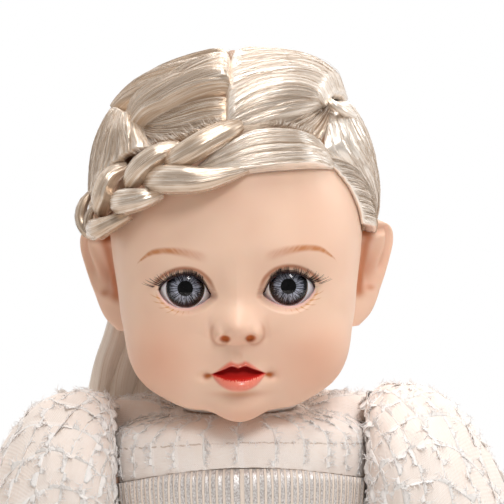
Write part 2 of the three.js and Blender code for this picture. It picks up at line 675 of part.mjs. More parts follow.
function eye(side, word) {
  const group = new THREE.Group();
  group.position.set(side * EYE_X, EYE_Y, EYE_Z);
  group.add(
    piece(`eyeball_${word}`, eyeball(), whitePlastic),
    piece(`iris_${word}`, iris(), greyBlue),
    piece(`cornea_${word}`, cornea(), clearPlastic),
    piece(`eyelid_${word}`, eyelid(), vinyl),
    piece(`eyelashes_${word}`, lashes(), lashFibre),
    piece(`eye_axle_${word}`, eyeAxle(), steel),
    piece(`eye_weight_${word}`, eyeWeight(), steel),
  );
  return group;
}

// Hair: a combed cap from the hairline to the nape, with locks and a braid laid on it
const hairline = [
  [-60, 76], [-44, 83], [-36, 88], [-24, 93], [-8, 97], [6, 99], [30, 98], [36, 92], [39.7, 81.4], [44, 64], [60, 40],
];
const hairEdge = [[-90, -40], [-90, 69], [13, 69], [19, 44], [30, 24], [90, 24], [90, -40]];
const hairOuter = headForm(18, 12, 0, HAIR_DEPTH, noFeature);
const scalpRoom = headForm(18, 12, 0, HAIR_GAP, noFeature);

function hairCap() {
  const front = new THREE.Shape([...hairline, [60, -40], [-60, -40]].map(([x, z]) => new THREE.Vector2(x, z)));
  const face = new THREE.ExtrudeGeometry(front, { depth: 90, bevelEnabled: false });
  face.rotateX(Math.PI / 2).translate(0, -6, 0);
  const side = new THREE.Shape(hairEdge.map(([y, z]) => new THREE.Vector2(y, z)));
  const below = new THREE.ExtrudeGeometry(side, { depth: 160, bevelEnabled: false });
  below.applyMatrix4(new THREE.Matrix4().makeBasis(at(0, 1, 0), at(0, 0, 1), at(1, 0, 0)));
  below.translate(-80, 0, 0);
  return hairOuter.subtract(scalpRoom).subtract(solidOf(face)).subtract(solidOf(below));
}

// Locks are cut where they lie on the combed hair
const hairRoom = headForm(18, 12, 0, HAIR_DEPTH + GAP, noFeature);

// The front braid runs across the forehead from the left hairline to the right temple
const BRAID_WIDTH = 17;
const BRAID_THICKNESS = 11;
const BRAID_LOBES = 9;
const braidHeight = profile([[-100, 76], [-78, 78], [-55, 85], [-30, 91], [8, 97], [49, 96]]);

function frontBraid(grow) {
  const lobes = [];
  for (let i = 0; i < BRAID_LOBES; i++) {
    const share = i / (BRAID_LOBES - 1);
    const turn = 26 - 122 * share;
    const upper = i % 2 === 0;
    const row = (upper ? 1 : -1) * 0.22 * BRAID_WIDTH;
    const centre = scalpPoint(turn, braidHeight(turn) + row, 0.42 * BRAID_THICKNESS);
    const ahead = scalpPoint(turn - 6, braidHeight(turn - 6) + row - (upper ? 4.5 : -1), 0.42 * BRAID_THICKNESS);
    const size = [28 - 4 * share, 0.64 * BRAID_WIDTH, BRAID_THICKNESS].map((v) => v + 2 * grow);
    lobes.push(lock(centre, ahead.sub(centre), outwardAt(centre), size));
  }
  const start = scalpPoint(36, 97, 0.3 * BRAID_THICKNESS);
  const startEnd = scalpPoint(10, 96, 0.3 * BRAID_THICKNESS);
  const startSize = [40, BRAID_WIDTH, 0.9 * BRAID_THICKNESS].map((v) => v + 2 * grow);
  lobes.push(lock(start, startEnd.sub(start), outwardAt(start), startSize));
  return joined(lobes);
}

// A crown lock sweeps from the parting over the combed hair to the temple
const CROWN_LOCK_THICKNESS = 8;
const crownWidth = { left: 26, right: 17 };

function crownLock(side, width) {
  const rings = levels(0, 1, 6).map((share) => {
    const place = (s) => scalpPoint(side * (14 + 78 * s), 121 - 22 * s, HAIR_DEPTH + 0.6);
    const centre = place(share);
    const along = place(share + 0.05).sub(place(share - 0.05)).normalize();
    const outward = outwardAt(centre);
    const across = outward.clone().cross(along).normalize();
    const full = 0.25 + 0.75 * Math.sin(Math.PI * Math.min(0.06 + 0.9 * share, 1));
    return Array.from({ length: 10 }, (_, i) => {
      const turn = (2 * Math.PI * i) / 10;
      const point = centre.clone().addScaledVector(across, (width / 2) * full * Math.cos(turn));
      return point.addScaledVector(outward, (CROWN_LOCK_THICKNESS / 2) * full * Math.sin(turn));
    });
  });
  return loft(rings);
}

// Loose hair: a hank that hangs from the nape and curves round behind the neck
const HANK_TOP = 38;
const HANK_LENGTH = 100;
const HANK_THICKNESS = 8;
const HANK_X = -5;
const hankHalf = profile([[0, 40], [0.25, 45], [0.36, 41], [0.6, 37], [1, 28]]);
const hankBack = profile([[0, 50], [0.3, 51], [0.6, 46], [1, 44]]);

function backHair() {
  const surface = (depth) => (u, v) => {
    const x = (2 * u - 1) * hankHalf(v);
    const wave = 1.5 * Math.sin(5 * Math.PI * u) * v;
    const bend = (v < 0.34 ? 0.0115 : 0.0045) * x * x;
    const edge = HANK_THICKNESS * (1 - 0.6 * (2 * u - 1) ** 4) * (1 - 0.5 * v ** 4);
    const tip = v === 1 ? 6 * Math.cos(3 * Math.PI * u) : 0;
    return at(HANK_X + x, hankBack(v) - bend + wave + depth * edge, HANK_TOP - v * HANK_LENGTH - tip);
  };
  return plate(10, 6, surface(1), surface(0)).subtract(hairRoom);
}

function head() {
  const group = new THREE.Group();
  group.position.z = CHIN_Z;
  const braidRoom = frontBraid(GAP);
  const cap = hairCap().subtract(braidRoom);
  const laid = (solid) => solid.subtract(hairRoom).subtract(braidRoom);
  group.add(
    piece("head_shell", headShell(), vinyl),
    piece("eye_case_left", eyeCase(1), greyPlastic),
    piece("eye_case_right", eyeCase(-1), greyPlastic),
    eye(1, "left"),
    eye(-1, "right"),
    piece("hair_cap", cap, paleHair),
    piece("front_braid", frontBraid(0).subtract(scalpRoom), paleHair),
    piece("crown_lock_left", laid(crownLock(1, crownWidth.left)), paleHair),
    piece("crown_lock_right", laid(crownLock(-1, crownWidth.right)), paleHair),
    piece("back_hair", backHair(), paleHair),
  );
  return group;
}

// Arm, about the middle of its flat shoulder face: a plug, a round knuckle, the arm and a hand
function armStations(side, grow) {
  return [
    [at(side * 13, 0, 0), 12.4, 12.4],
    [at(side * 17, 0, -15), 11.8, 12.2],
    [at(side * 25, -1, -40), 11.6, 12],
    [at(side * 32, -3, -64), 10, 10.4],
    [at(side * 37, -6, -86), 10.2, 10.4],
    [at(side * 41, -9, -110), 7.2, 7.4],
    [at(side * 44, -11, -122), 5.6, 9],
    [at(side * 46.5, -12, -133), 5, 9.4],
    [at(side * 48, -13, -138), 3.6, 7.5],
  ].map(([centre, halfWidth, halfDepth]) => [centre, halfWidth + grow, halfDepth + grow]);
}

function knuckle(side, grow) {
  const r = SHOULDER_KNUCKLE + grow;
  const start = grow > 0 ? -1 : GAP;
  return turnedAboutX(
    [[side * start, 0.93 * r], [side * 3, r], [side * 9, 0.95 * r], [side * 15, 0.72 * r], [side * (19 + grow), 0.2 * r]],
    0,
    0,
  );
}

// Four fingers side by side and a thumb, each a short rounded rod from the palm
const FINGER_RADIUS = 2.3;
const FINGER_LENGTH = 13;

function fingers(side) {
  const rods = [];
  for (let i = 0; i < 4; i++) {
    const rod = new THREE.CapsuleGeometry(FINGER_RADIUS, FINGER_LENGTH - Math.abs(i - 1.4) * 1.8, 1, 6);
    rod.rotateX(Math.PI / 2).rotateY(side * -0.22);
    rods.push(solidOf(rod.translate(side * 49, -19.5 + 4.3 * i, -141)));
  }
  const thumb = new THREE.CapsuleGeometry(FINGER_RADIUS + 0.3, FINGER_LENGTH - 2, 1, 6);
  thumb.rotateX(Math.PI / 2 - 0.6).translate(side * 44.5, -22, -128);
  return joined([...rods, solidOf(thumb)]);
}

function armSolid(side) {
  const plug = rodAboutX(side * 2, -side * (WALL + GAP + 1), SHOULDER_PLUG, 0, 0, 18);
  const flange = rodAboutX(-side * (WALL + GAP), -side * (WALL + GAP + FLANGE_THICKNESS), SHOULDER_FLANGE, 0, 0, 20);
  return joined([knuckle(side, 0), limb(armStations(side, 0), 10), fingers(side), plug, flange]);
}

// Puff sleeve: from the side plane of the dress it swells over the shoulder and gathers into a cuff
const SLEEVE_FOLDS = 5;
const sleeveTop = (side, share) => {
  const x = profile([[0, 0], [0.12, 4], [0.3, 14], [0.55, 34], [0.75, 0.96 * SLEEVE_WIDTH], [0.88, SLEEVE_WIDTH - 6],
    [1, 38]])(share);
  const z = profile([[0, 23], [0.12, 33], [0.3, SLEEVE_RISE], [0.55, 24], [0.75, -14], [0.88, -42],
    [1, 5 - SLEEVE_DROP]])(share);
  return at(side * (DRESS_SIDE + GAP + x - SHOULDER_X), 0, z);
};
const sleeveUnder = (side, share) => {
  const x = profile([[0, 0], [0.75, 0.6], [0.9, 6], [1, 15]])(share);
  const z = profile([[0, -20], [0.3, -31], [0.75, 1 - SLEEVE_DROP], [1, -SLEEVE_DROP]])(share);
  return at(side * (DRESS_SIDE + GAP + x - SHOULDER_X), 0, z);
};
const sleeveDepth = profile([[0, 17], [0.12, 25], [0.35, 33], [0.6, 34], [0.8, 28], [1, 13]]);

function sleeve(side) {
  const count = 4 * SLEEVE_FOLDS;
  const rings = levels(0, 1, 7).map((share) => {
    const [top, under] = [sleeveTop(side, share), sleeveUnder(side, share)];
    const middle = top.clone().add(under).divideScalar(2);
    const reach = top.clone().sub(middle);
    const fold = 0.055 * Math.sin(Math.PI * share);
    return Array.from({ length: count }, (_, i) => {
      const turn = (2 * Math.PI * i) / count;
      const swell = 1 + fold * Math.cos(SLEEVE_FOLDS * turn);
      const point = middle.clone().addScaledVector(reach, swell * Math.cos(turn));
      point.y += -4 * share + sleeveDepth(share) * swell * Math.sin(turn);
      point.x = side * Math.max(side * point.x, DRESS_SIDE + GAP - SHOULDER_X + 0.02 * share);
      return point;
    });
  });
  const room = joined([knuckle(side, 1), limb(armStations(side, 1), 10)]);
  return loft(rings).subtract(room);
}

// A band round the arm where the sleeve ends, grown outwards by a distance
function cuffBand(side, grow) {
  const stations = armStations(side, 0);
  const along = stations[4][0].clone().sub(stations[2][0]).normalize();
  const rod = new THREE.CylinderGeometry(CUFF_RADIUS + grow, CUFF_RADIUS + grow, CUFF_HEIGHT + 2 * grow, 14);
  rod.applyQuaternion(new THREE.Quaternion().setFromUnitVectors(at(0, 1, 0), along));
  return solidOf(rod.translate(...stations[3][0].clone().addScaledVector(along, 0.5 * CUFF_HEIGHT - 4.5)));
}

const cuff = (side) => cuffBand(side, 0).subtract(limb(armStations(side, 1), 10));

function arm(side, word) {
  const group = new THREE.Group();
  group.position.set(side * SHOULDER_X, 0, SHOULDER_Z);
  group.add(
    piece(`arm_${word}`, armSolid(side), vinyl),
    piece(`sleeve_${word}`, sleeve(side).subtract(cuffBand(side, GAP)), creamCloth),
    piece(`cuff_${word}`, cuff(side), creamCloth),
  );
  return group;
}

// Leg, about the middle of its flat hip face: a plug, a round knuckle, a straight leg and a foot
const LEG_OUT = LEG_X - HIP_X;
const ANKLE_Z = 30;

function legStations(side, grow) {
  const x = side * LEG_OUT;
  return [
    [at(x, 0, -4), 21.5, 22.5],
    [at(x, 0, -32), 22.2, THIGH_DEPTH],
    [at(x, 0, -60), 20, 21.2],
    [at(x, -0.5, -84), 17.4, 18.6],
    [at(x, 0.5, -100), 17.2, 18.6],
    [at(x, 1.5, -116), 17.6, 19],
    [at(x, 1, -142), 14.4, 15.4],
    [at(x, 0.5, ANKLE_Z - LEG_LENGTH), 12.2, 13.4],
    [at(x, 0, SOLE_THICKNESS + GAP + 8 - LEG_LENGTH), 11.6, 14],
  ].map(([centre, halfWidth, halfDepth]) => [centre, halfWidth + grow, halfDepth + grow]);
}

function foot(side, grow) {
  const ball = new THREE.SphereGeometry(1, 12, 7);
  const halfLength = SHOE_LENGTH / 2 - SHOE_WALL - GAP;
  ball.scale(SHOE_HALF - SHOE_WALL - GAP - 1 + grow, halfLength + grow, 13.5 + grow);
  ball.translate(side * LEG_OUT, 18 - SHOE_LENGTH / 2, SOLE_THICKNESS + GAP + 12 - LEG_LENGTH);
  const floor = block(at(-80, -90, -LEG_LENGTH - 20), at(80, 90, SOLE_THICKNESS + GAP - grow - LEG_LENGTH));
  return solidOf(ball).subtract(floor);
}

function legSolid(side) {
  const r = HIP_KNUCKLE;
  const plug = rodAboutX(side * 3, -side * (WALL + GAP + 1), HIP_PLUG, 0, 0, 18);
  const flange = rodAboutX(-side * (WALL + GAP), -side * (WALL + GAP + FLANGE_THICKNESS), HIP_FLANGE, 0, 0, 20);
  const hip = turnedAboutX(
    [[side * GAP, 0.86 * r], [side * 3, 0.96 * r], [side * 10, r], [side * 20, 0.96 * r], [side * 28, 0.78 * r],
      [side * 33, 0.45 * r]],
    0,
    0,
    16,
  );
  const pelvisRoom = rodAboutX(-side * 30, side * GAP, r + 2 * GAP, 0, 0, 28);
  return joined([hip, limb(legStations(side, 0), 12).subtract(pelvisRoom), foot(side, 0), plug, flange]);
}

// Shoe: a flat sole, a soft upper with a low opening, and a strap over the instep
function shoeOutline(grow) {
  const outline = new THREE.Shape();
  outline.absellipse(0, 0, SHOE_HALF - 1 + grow, SHOE_LENGTH / 2 + grow, 0, 2 * Math.PI);
  return outline;
}

function shoeSoleSolid(side) {
  const sole = new THREE.ExtrudeGeometry(shoeOutline(0), {
    depth: SOLE_THICKNESS,
    bevelEnabled: false,
    curveSegments: 12,
  });
  return solidOf(sole.translate(side * LEG_OUT, 18 - SHOE_LENGTH / 2, -LEG_LENGTH));
}

// The rounded outside of a shoe, grown outwards by a distance
function shoeForm(side, grow) {
  const form = new THREE.SphereGeometry(1, 14, 8);
  form.scale(SHOE_HALF + grow, SHOE_LENGTH / 2 + 1 + grow, 16.5 + grow);
  return solidOf(form.translate(side * LEG_OUT, 18 - SHOE_LENGTH / 2, SOLE_THICKNESS + GAP + 11 - LEG_LENGTH));
}

const insideShoe = (side) => joined([foot(side, GAP), limb(legStations(side, GAP), 12)]);

function shoeUpper(side) {
  const floor = block(at(-80, -90, -LEG_LENGTH - 20), at(80, 90, SOLE_THICKNESS + GAP - LEG_LENGTH));
  const mouth = new THREE.SphereGeometry(1, 10, 6);
  mouth.scale(SHOE_HALF - 4, 0.36 * SHOE_LENGTH, 12);
  mouth.translate(side * LEG_OUT, 1, SHOE_HEIGHT + 2 - LEG_LENGTH);
  return shoeForm(side, 0).subtract(floor).subtract(insideShoe(side)).subtract(solidOf(mouth));
}

function shoeStrap(side) {
  const over = block(at(-80, STRAP_Y, 20 - LEG_LENGTH), at(80, STRAP_Y + STRAP_WIDTH, 60 - LEG_LENGTH));
  const arch = shoeForm(side, GAP + STRAP_THICKNESS).subtract(shoeForm(side, GAP));
  return arch.intersect(over).subtract(insideShoe(side));
}

function leg(side, word) {
  const group = new THREE.Group();
  group.position.set(side * HIP_X, 0, HIP_Z);
  group.add(
    piece(`leg_${word}`, legSolid(side), vinyl),
    piece(`shoe_sole_${word}`, shoeSoleSolid(side), shoeSole),
    piece(`shoe_upper_${word}`, shoeUpper(side), shoeCloth),
    piece(`shoe_strap_${word}`, shoeStrap(side), shoeCloth),
  );
  return group;
}

// Dress: yoke, neck binding, bodice and waistband fitted round the torso, then a pleated skirt in two halves
const DRESS_EASE = 0.6;
const COLLAR_Z = SHOULDER_Z + 25;

function fitted(fromZ, toZ, thickness) {
  const outer = loft(torsoLevels(fromZ, toZ).map((z) => torsoRing(z, DRESS_EASE + thickness)));
  const inner = loft(torsoLevels(fromZ - 0.9, toZ + 0.9).map((z) => torsoRing(z, DRESS_EASE)));
  return outer.subtract(inner);
}

function withoutArmholes(solid) {
  let cut = solid;
  for (const side of [1, -1]) {
    const hole = rodAboutX(side * 34, side * 60, SHOULDER_KNUCKLE + 1.4, 0, SHOULDER_Z);
    const beyond = block(
      at(Math.min(side * DRESS_SIDE, side * 90), -70, HIP_Z),
      at(Math.max(side * DRESS_SIDE, side * 90), 70, SHOULDER_Z + 60),
    );
    cut = cut.subtract(hole).subtract(beyond);
  }
  return cut;
}

// The yoke spreads flat over the shoulders as far as the sleeves, below the sweep of the chin
function yoke() {
  const rings = [[0, 1, 1], [0.4, 1.02, 0.97], [0.66, 0.99, 0.9], [0.85, 0.84, 0.78], [0.94, 0.62, 0.66], [1, 0.42, 0.55]]
    .map(([share, wide, deep]) => {
      const z = THREE.MathUtils.lerp(YOKE_SEAM_Z + GAP / 2, COLLAR_Z, share);
      return oval(at(0, 0, z), wide * (DRESS_SIDE - 1), deep * (CHEST_DEPTH + CLOTH), 18, 2.3);
    });
  const body = loft(torsoLevels(YOKE_SEAM_Z - 2, COLLAR_Z + 0.9).map((z) => torsoRing(z, DRESS_EASE)));
  return withoutArmholes(loft(rings).subtract(body));
}


const bodice = () => withoutArmholes(fitted(WAIST_Z + GAP / 2, YOKE_SEAM_Z - GAP / 2, CLOTH));
const waistband = () => fitted(WAIST_Z - WAISTBAND_HEIGHT, WAIST_Z - GAP / 2, CLOTH + 0.8);

function neckBinding() {
  const z = COLLAR_Z + GAP;
  const height = 3;
  const ring = (grow, from, to) =>
    loft([from, to].map((level) => torsoRing(COLLAR_Z, grow).map((p) => at(p.x, p.y, level))));
  return ring(DRESS_EASE + CLOTH, z, z + height).subtract(ring(DRESS_EASE, z - 1, z + height + 1));
}

// Closure tape down the middle of the back, on the outside of the bodice
function backTape() {
  const half = 6;
  const heights = torsoLevels(WAIST_Z + 3, YOKE_SEAM_Z - 2);
  const surface = (thickness) => (u, v) => {
    const z = heights[Math.round(v * (heights.length - 1))];
    return at((2 * u - 1) * half, torsoDepth(z) + DRESS_EASE + CLOTH + GAP + thickness, z);
  };
  return plate(1, heights.length - 1, surface(1.4), surface(0));
}

function skirtHalf(side) {
  const [topZ, hemZ] = [WAIST_Z - WAISTBAND_HEIGHT - GAP, SKIRT_HEM_Z];
  const count = SKIRT_PLEATS * 4;
  const ring = (share, inward) => {
    const z = topZ + share * (hemZ - topZ);
    const halfWidth = (1 - share) * (torsoHalf(topZ) + CLOTH) + share * SKIRT_HEM_RADIUS;
    const halfDepth = (1 - share) * (torsoDepth(topZ) + CLOTH) + share * SKIRT_HEM_RADIUS;
    return oval(at(0, 0, z), halfWidth, halfDepth, count, 2.3 - 0.3 * share).map((point, i) => {
      const pleat = SKIRT_PLEAT_DEPTH * share ** 0.6 * (1 - Math.cos((Math.PI * i) / 2));
      const radius = Math.hypot(point.x, point.y);
      const shrink = (radius - pleat - inward) / radius;
      return at(point.x * shrink, point.y * shrink, z);
    });
  };
  const shares = levels(0, 1, 2);
  const outer = loft(shares.map((share) => ring(share, 0)));
  const inner = loft([-0.02, ...shares.slice(1, -1), 1.02].map((share) => ring(Math.max(share, 0), CLOTH - 0.4)
    .map((p) => at(p.x, p.y, topZ + share * (hemZ - topZ)))));
  const keep = block(
    at(Math.min(side * SKIRT_SLIT, side * 120), -120, hemZ - 5),
    at(Math.max(side * SKIRT_SLIT, side * 120), 120, topZ + 5),
  );
  return outer.subtract(inner).intersect(keep);
}

const doll = new THREE.Group();
doll.add(
  piece("torso_shell", torsoShell(), vinyl),
  piece("neck_joint", neckJoint(), whitePlastic),
  head(),
  arm(1, "left"),
  arm(-1, "right"),
  leg(1, "left"),
  leg(-1, "right"),
  piece("dress_yoke", yoke(), creamCloth),
  piece("neck_binding", neckBinding(), creamCloth),
  piece("dress_bodice", bodice(), silverCloth),
  piece("back_tape", backTape(), creamCloth),
  piece("dress_waistband", waistband(), silverCloth),
  piece("skirt_left", skirtHalf(1), silverCloth),
  piece("skirt_right", skirtHalf(-1), silverCloth),
);

export default doll;
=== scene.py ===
import bpy
import numpy as np
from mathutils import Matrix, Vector


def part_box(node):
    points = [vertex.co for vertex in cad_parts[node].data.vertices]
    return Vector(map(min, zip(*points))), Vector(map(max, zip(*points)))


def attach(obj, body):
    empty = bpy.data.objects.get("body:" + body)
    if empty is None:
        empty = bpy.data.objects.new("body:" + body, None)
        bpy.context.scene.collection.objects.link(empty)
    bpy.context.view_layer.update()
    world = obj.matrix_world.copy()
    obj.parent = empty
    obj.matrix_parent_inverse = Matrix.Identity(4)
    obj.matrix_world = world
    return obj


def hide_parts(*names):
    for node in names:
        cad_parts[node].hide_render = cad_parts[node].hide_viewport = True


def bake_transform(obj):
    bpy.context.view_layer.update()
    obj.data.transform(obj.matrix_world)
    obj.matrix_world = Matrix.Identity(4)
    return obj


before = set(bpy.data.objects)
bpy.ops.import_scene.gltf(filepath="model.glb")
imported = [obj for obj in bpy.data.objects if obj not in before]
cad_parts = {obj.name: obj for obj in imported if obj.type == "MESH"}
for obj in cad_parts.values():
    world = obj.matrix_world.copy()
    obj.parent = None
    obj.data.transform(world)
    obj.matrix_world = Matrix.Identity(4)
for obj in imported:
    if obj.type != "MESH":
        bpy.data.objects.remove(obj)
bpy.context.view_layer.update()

# Trunk, arms and legs
# Soft peach vinyl, moulded hollow, with a satin skin that lets a little light in.
# The limbs plug into the trunk with flanges and meet it at plain round faces.
MM = 0.001
SIDES = {"left": 1, "right": -1}
TRUNK_VOXEL = 1.6
LIMB_VOXELS = {"arm": 1.0, "leg": 1.5}
SKIN_PASSES = 12
WELD_REACH = 0.01


def shown_as(red, green, blue):
    """A colour as it looks on a screen, as the linear light that a shader takes."""
    screen = np.array((red, green, blue)) / 255
    light = np.where(screen <= 0.04045, screen / 12.92, ((screen + 0.055) / 1.055) ** 2.4)
    return (*light.tolist(), 1.0)


class Paint:
    """A socket of a node tree. Operators add Math nodes, and node() adds any other node."""

    def __init__(self, tree, socket=None):
        self.tree = tree
        self.socket = socket

    def node(self, kind, sockets=(), out=0, **settings):
        made = self.tree.nodes.new(kind)
        for name, value in settings.items():
            setattr(made, name, value)
        for key, value in dict(sockets).items():
            if isinstance(value, Paint):
                self.tree.links.new(value.socket, made.inputs[key])
            else:
                made.inputs[key].default_value = value
        return Paint(self.tree, made.outputs[out])

    def math(self, operation, first, second=0.0):
        return self.node("ShaderNodeMath", {0: first, 1: second}, operation=operation)

    def __add__(self, other):
        return self.math("ADD", self, other)

    def __sub__(self, other):
        return self.math("SUBTRACT", self, other)

    def __rsub__(self, other):
        return self.math("SUBTRACT", other, self)

    def __mul__(self, other):
        return self.math("MULTIPLY", self, other)

    def __truediv__(self, other):
        return self.math("DIVIDE", self, other)

    def __pow__(self, other):
        return self.math("POWER", self, other)

    def __abs__(self):
        return self.math("ABSOLUTE", self)

    __radd__ = __add__
    __rmul__ = __mul__

    def smooth(self, low, high):
        """Rises softly from 0 at low to 1 at high."""
        sockets = {"Value": self, "From Min": low, "From Max": high}
        return self.node("ShaderNodeMapRange", sockets, interpolation_type="SMOOTHSTEP")

    def mix(self, under, over):
        """A colour that goes from under to over as this value goes from 0 to 1."""
        return self.node("ShaderNodeMix", {0: self, 6: under, 7: over}, 2, data_type="RGBA")

    def noise(self, place, scale, detail=2.0):
        return self.node("ShaderNodeTexNoise", {"Vector": place, "Scale": scale, "Detail": detail})

    def field(self, name):
        """A value that the mesh carries at its points."""
        return self.node("ShaderNodeAttribute", out="Fac", attribute_name=name)

    def stretched(self, place, x, y, z):
        """A place scaled along each axis, for grain that runs one way."""
        return self.node("ShaderNodeVectorMath", {0: place, 1: (x, y, z)}, operation="MULTIPLY")

    def bump(self, strength, distance):
        """This value as the height of fine relief, for a shader's Normal."""
        sockets = {"Strength": strength, "Distance": distance, "Height": self}
        return self.node("ShaderNodeBump", sockets)

    def into(self, shader, socket):
        self.tree.links.new(self.socket, shader.inputs[socket])


def new_finish(name, **fixed):
    """A material with its shader's constant values set, and the start of its node painting."""
    material = bpy.data.materials.new(name)
    material.use_nodes = True
    shader = material.node_tree.nodes["Principled BSDF"]
    for socket, value in fixed.items():
        shader.inputs[socket.replace("_", " ")].default_value = value
    return material, Paint(material.node_tree), shader


SKIN = shown_as(244, 209, 185)
SKIN_CLOUD = shown_as(238, 200, 176)


def skin_colour(paint, place):
    return paint.noise(place, 45.0).smooth(0.3, 0.7).mix(SKIN_CLOUD, SKIN)


def skin_grain(paint, place, shader):
    """The faint unevenness of moulded vinyl, in its gloss and its relief."""
    grain = paint.noise(place, 420.0)
    (0.4 + 0.1 * grain).into(shader, "Roughness")
    grain.bump(0.12, 0.00005).into(shader, "Normal")


VINYL = {
    "Subsurface_Weight": 0.12,
    "Subsurface_Radius": (1.0, 0.4, 0.2),
    "Subsurface_Scale": 0.004,
    "Specular_IOR_Level": 0.4,
}


def vinyl_finish():
    material, paint, shader = new_finish("peach_vinyl", **VINYL)
    place = paint.node("ShaderNodeTexCoord", out="Object")
    skin_colour(paint, place).into(shader, "Base Color")
    skin_grain(paint, place, shader)
    return material


def settle(piece):
    """Turns a piece's modifiers into its plain mesh."""
    depsgraph = bpy.context.evaluated_depsgraph_get()
    mesh = bpy.data.meshes.new_from_object(piece.evaluated_get(depsgraph))
    piece.modifiers.clear()
    piece.data = mesh
    mesh.shade_smooth()


def link(piece):
    bpy.context.scene.collection.objects.link(piece)
    return piece


def rounded_copy(node, name, voxel, passes, material):
    """A solid's own form with its facets rounded off, as a new piece in the same place."""
    piece = link(bpy.data.objects.new(name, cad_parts[node].data.copy()))
    piece.modifiers.new("Weld", "WELD").merge_threshold = WELD_REACH * MM
    remesh = piece.modifiers.new("Even", "REMESH")
    remesh.mode = "VOXEL"
    remesh.voxel_size = voxel * MM
    relax = piece.modifiers.new("Round", "SMOOTH")
    relax.factor = 0.5
    relax.iterations = passes
    settle(piece)
    piece.data.materials.clear()
    piece.data.materials.append(material)
    return piece


vinyl = vinyl_finish()
hollow = [("torso_shell", "torso", TRUNK_VOXEL)]
for limb, voxel in LIMB_VOXELS.items():
    hollow += [(f"{limb}_{side}", f"{limb}_{side}", voxel) for side in SIDES]
for node, body, voxel in hollow:
    limb = rounded_copy(node, f"{node}_skin", voxel, SKIN_PASSES, vinyl)
    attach(limb, body)
    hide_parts(node)

# Head
# One hollow vinyl casting: skull, face, lips, nostrils and ears, with a socket behind each eye opening.
# The brows, lips, cheeks and lower lashes are sprayed and brushed on at the factory.
# The ochre in the nostrils, nose folds, mouth corners, lip groove and ears, the lid crease and the dark top
# of the mouth are painted shade.
CHIN_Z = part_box("head_shell")[0].z / MM
HEAD_CORE = np.array((0.0, -2.0, 40.0))
HEAD_COLUMNS = 319
HEAD_ROWS = 276
RAY_LENGTH = 140.0
HALVINGS = 26

# Each mass of the bare head: its middle, half sizes, how square it is and how softly it joins the rest
HEAD_MASSES = (
    ((0, 6, 76), (46, 50, 49), 2, 12),
    ((0, -8, 46), (43, 38, 41), 2.5, 12),
    ((20.6, -22, 24), (18.2, 18.2, 18.2), 2, 6),
    ((-20.6, -22, 24), (18.2, 18.2, 18.2), 2, 6),
    ((14.5, -28, 14), (10.6, 10.6, 10.6), 2, 7),
    ((-14.5, -28, 14), (10.6, 10.6, 10.6), 2, 7),
    ((0, -35, 9), (10, 10, 10), 2, 9),
)
EYE = np.array((18.2, -31.0, 47.1))
EYE_RADIUS = 10.5
SOCKET_RADIUS = 12.2
SOCKET_BACK = np.radians(128)
RIM_RADIUS = 11.75
RIM_FALL = 2.8
RIM_SNAP = 0.16

# Each swelling or hollow of the face: from the middle, height, spread across, above and below, and forward
FACE_RELIEF = (
    (18.2, 47.1, 9, 7, 7, -1.6),
    (8.5, 46.1, 3.6, 5.5, 5.5, -1.8),
    (18.2, 60, 10, 3.5, 3.5, 0.8),
    (0, 43, 3.8, 8, 8, 0.9),
    (9.9, 32.4, 0.9, 2.6, 2.6, -0.7),
    (0, 16.5, 11, 8, 8, 3),
    (0, 24.2, 1.2, 1.8, 1.8, -0.7),
    (0, 13.2, 5.6, 2.0, 1.6, 1.7),
    (11.6, 16.3, 1.7, 1.2, 1.2, -1.8),
    (0, 8.9, 8, 1.7, 2.0, -2.1),
    (25, 27, 9, 9, 9, 1.2),
)


def ramp(value, low, high):
    share = np.clip((value - low) / (high - low), 0, 1)
    return share * share * (3 - 2 * share)


def bell(value, middle, spread):
    return np.exp(-(((value - middle) / spread) ** 2) / 2)


def unit(vectors):
    return vectors / np.linalg.norm(vectors, axis=-1, keepdims=True)


def profile(stations, place):
    """A smooth value through stations of (place, value), held level past both ends."""
    places = np.array([station[0] for station in stations], float)
    values = np.array([station[1] for station in stations], float)
    inside = np.clip(np.asarray(place, float), places[0], places[-1])
    flat = inside.ravel()
    order = np.arange(len(places))
    before = np.maximum(order - 1, 0)
    after = np.minimum(order + 1, len(places) - 1)
    wide = (-1,) + (1,) * (values.ndim - 1)
    slopes = (values[after] - values[before]) / (places[after] - places[before]).reshape(wide)
    low = np.clip(np.searchsorted(places, flat, side="right") - 1, 0, len(places) - 2)
    span = (places[low + 1] - places[low]).reshape(wide)
    t = (flat - places[low]).reshape(wide) / span
    start = values[low] * (1 + 2 * t) * (1 - t) ** 2 + slopes[low] * span * t * (1 - t) ** 2
    end = values[low + 1] * t * t * (3 - 2 * t) + slopes[low + 1] * span * t * t * (t - 1)
    return (start + end).reshape(inside.shape + values.shape[1:])


def head_depth(points):
    """How far points stand off the bare head, whose masses flow into each other."""
    whole = np.full(points.shape[:-1], np.inf)
    for centre, axes, power, flow in HEAD_MASSES:
        scaled = np.abs((points - centre) / axes) ** power
        depth = (scaled.sum(-1) ** (1 / power) - 1) * min(axes)
        blend = np.maximum(flow - np.abs(whole - depth), 0) / flow
        whole = np.minimum(whole, depth) - blend**2 * flow / 4
    return whole


def along_rays(core, rays, lift, length=RAY_LENGTH):
    """Where rays from a core pass a distance off the bare head, found by halving."""
    near = np.zeros(rays.shape[:-1])
    far = np.full(rays.shape[:-1], length)
    for _ in range(HALVINGS):
        middle = (near + far) / 2
        inside = head_depth(core + rays * middle[..., None]) < lift
        near = np.where(inside, middle, near)
        far = np.where(inside, far, middle)
    return core + rays * near[..., None]


def crowded(start, stop, count, low, high, gain):
    """Places from start to stop that stand closer together between low and high."""
    fine = np.linspace(start, stop, 4000)
    weight = 1 + gain * ramp(fine, low - 10, low + 6) * ramp(-fine, -high - 10, 6 - high)
    total = np.cumsum(weight)
    return np.interp(np.linspace(total[0], total[-1], count), total, fine)


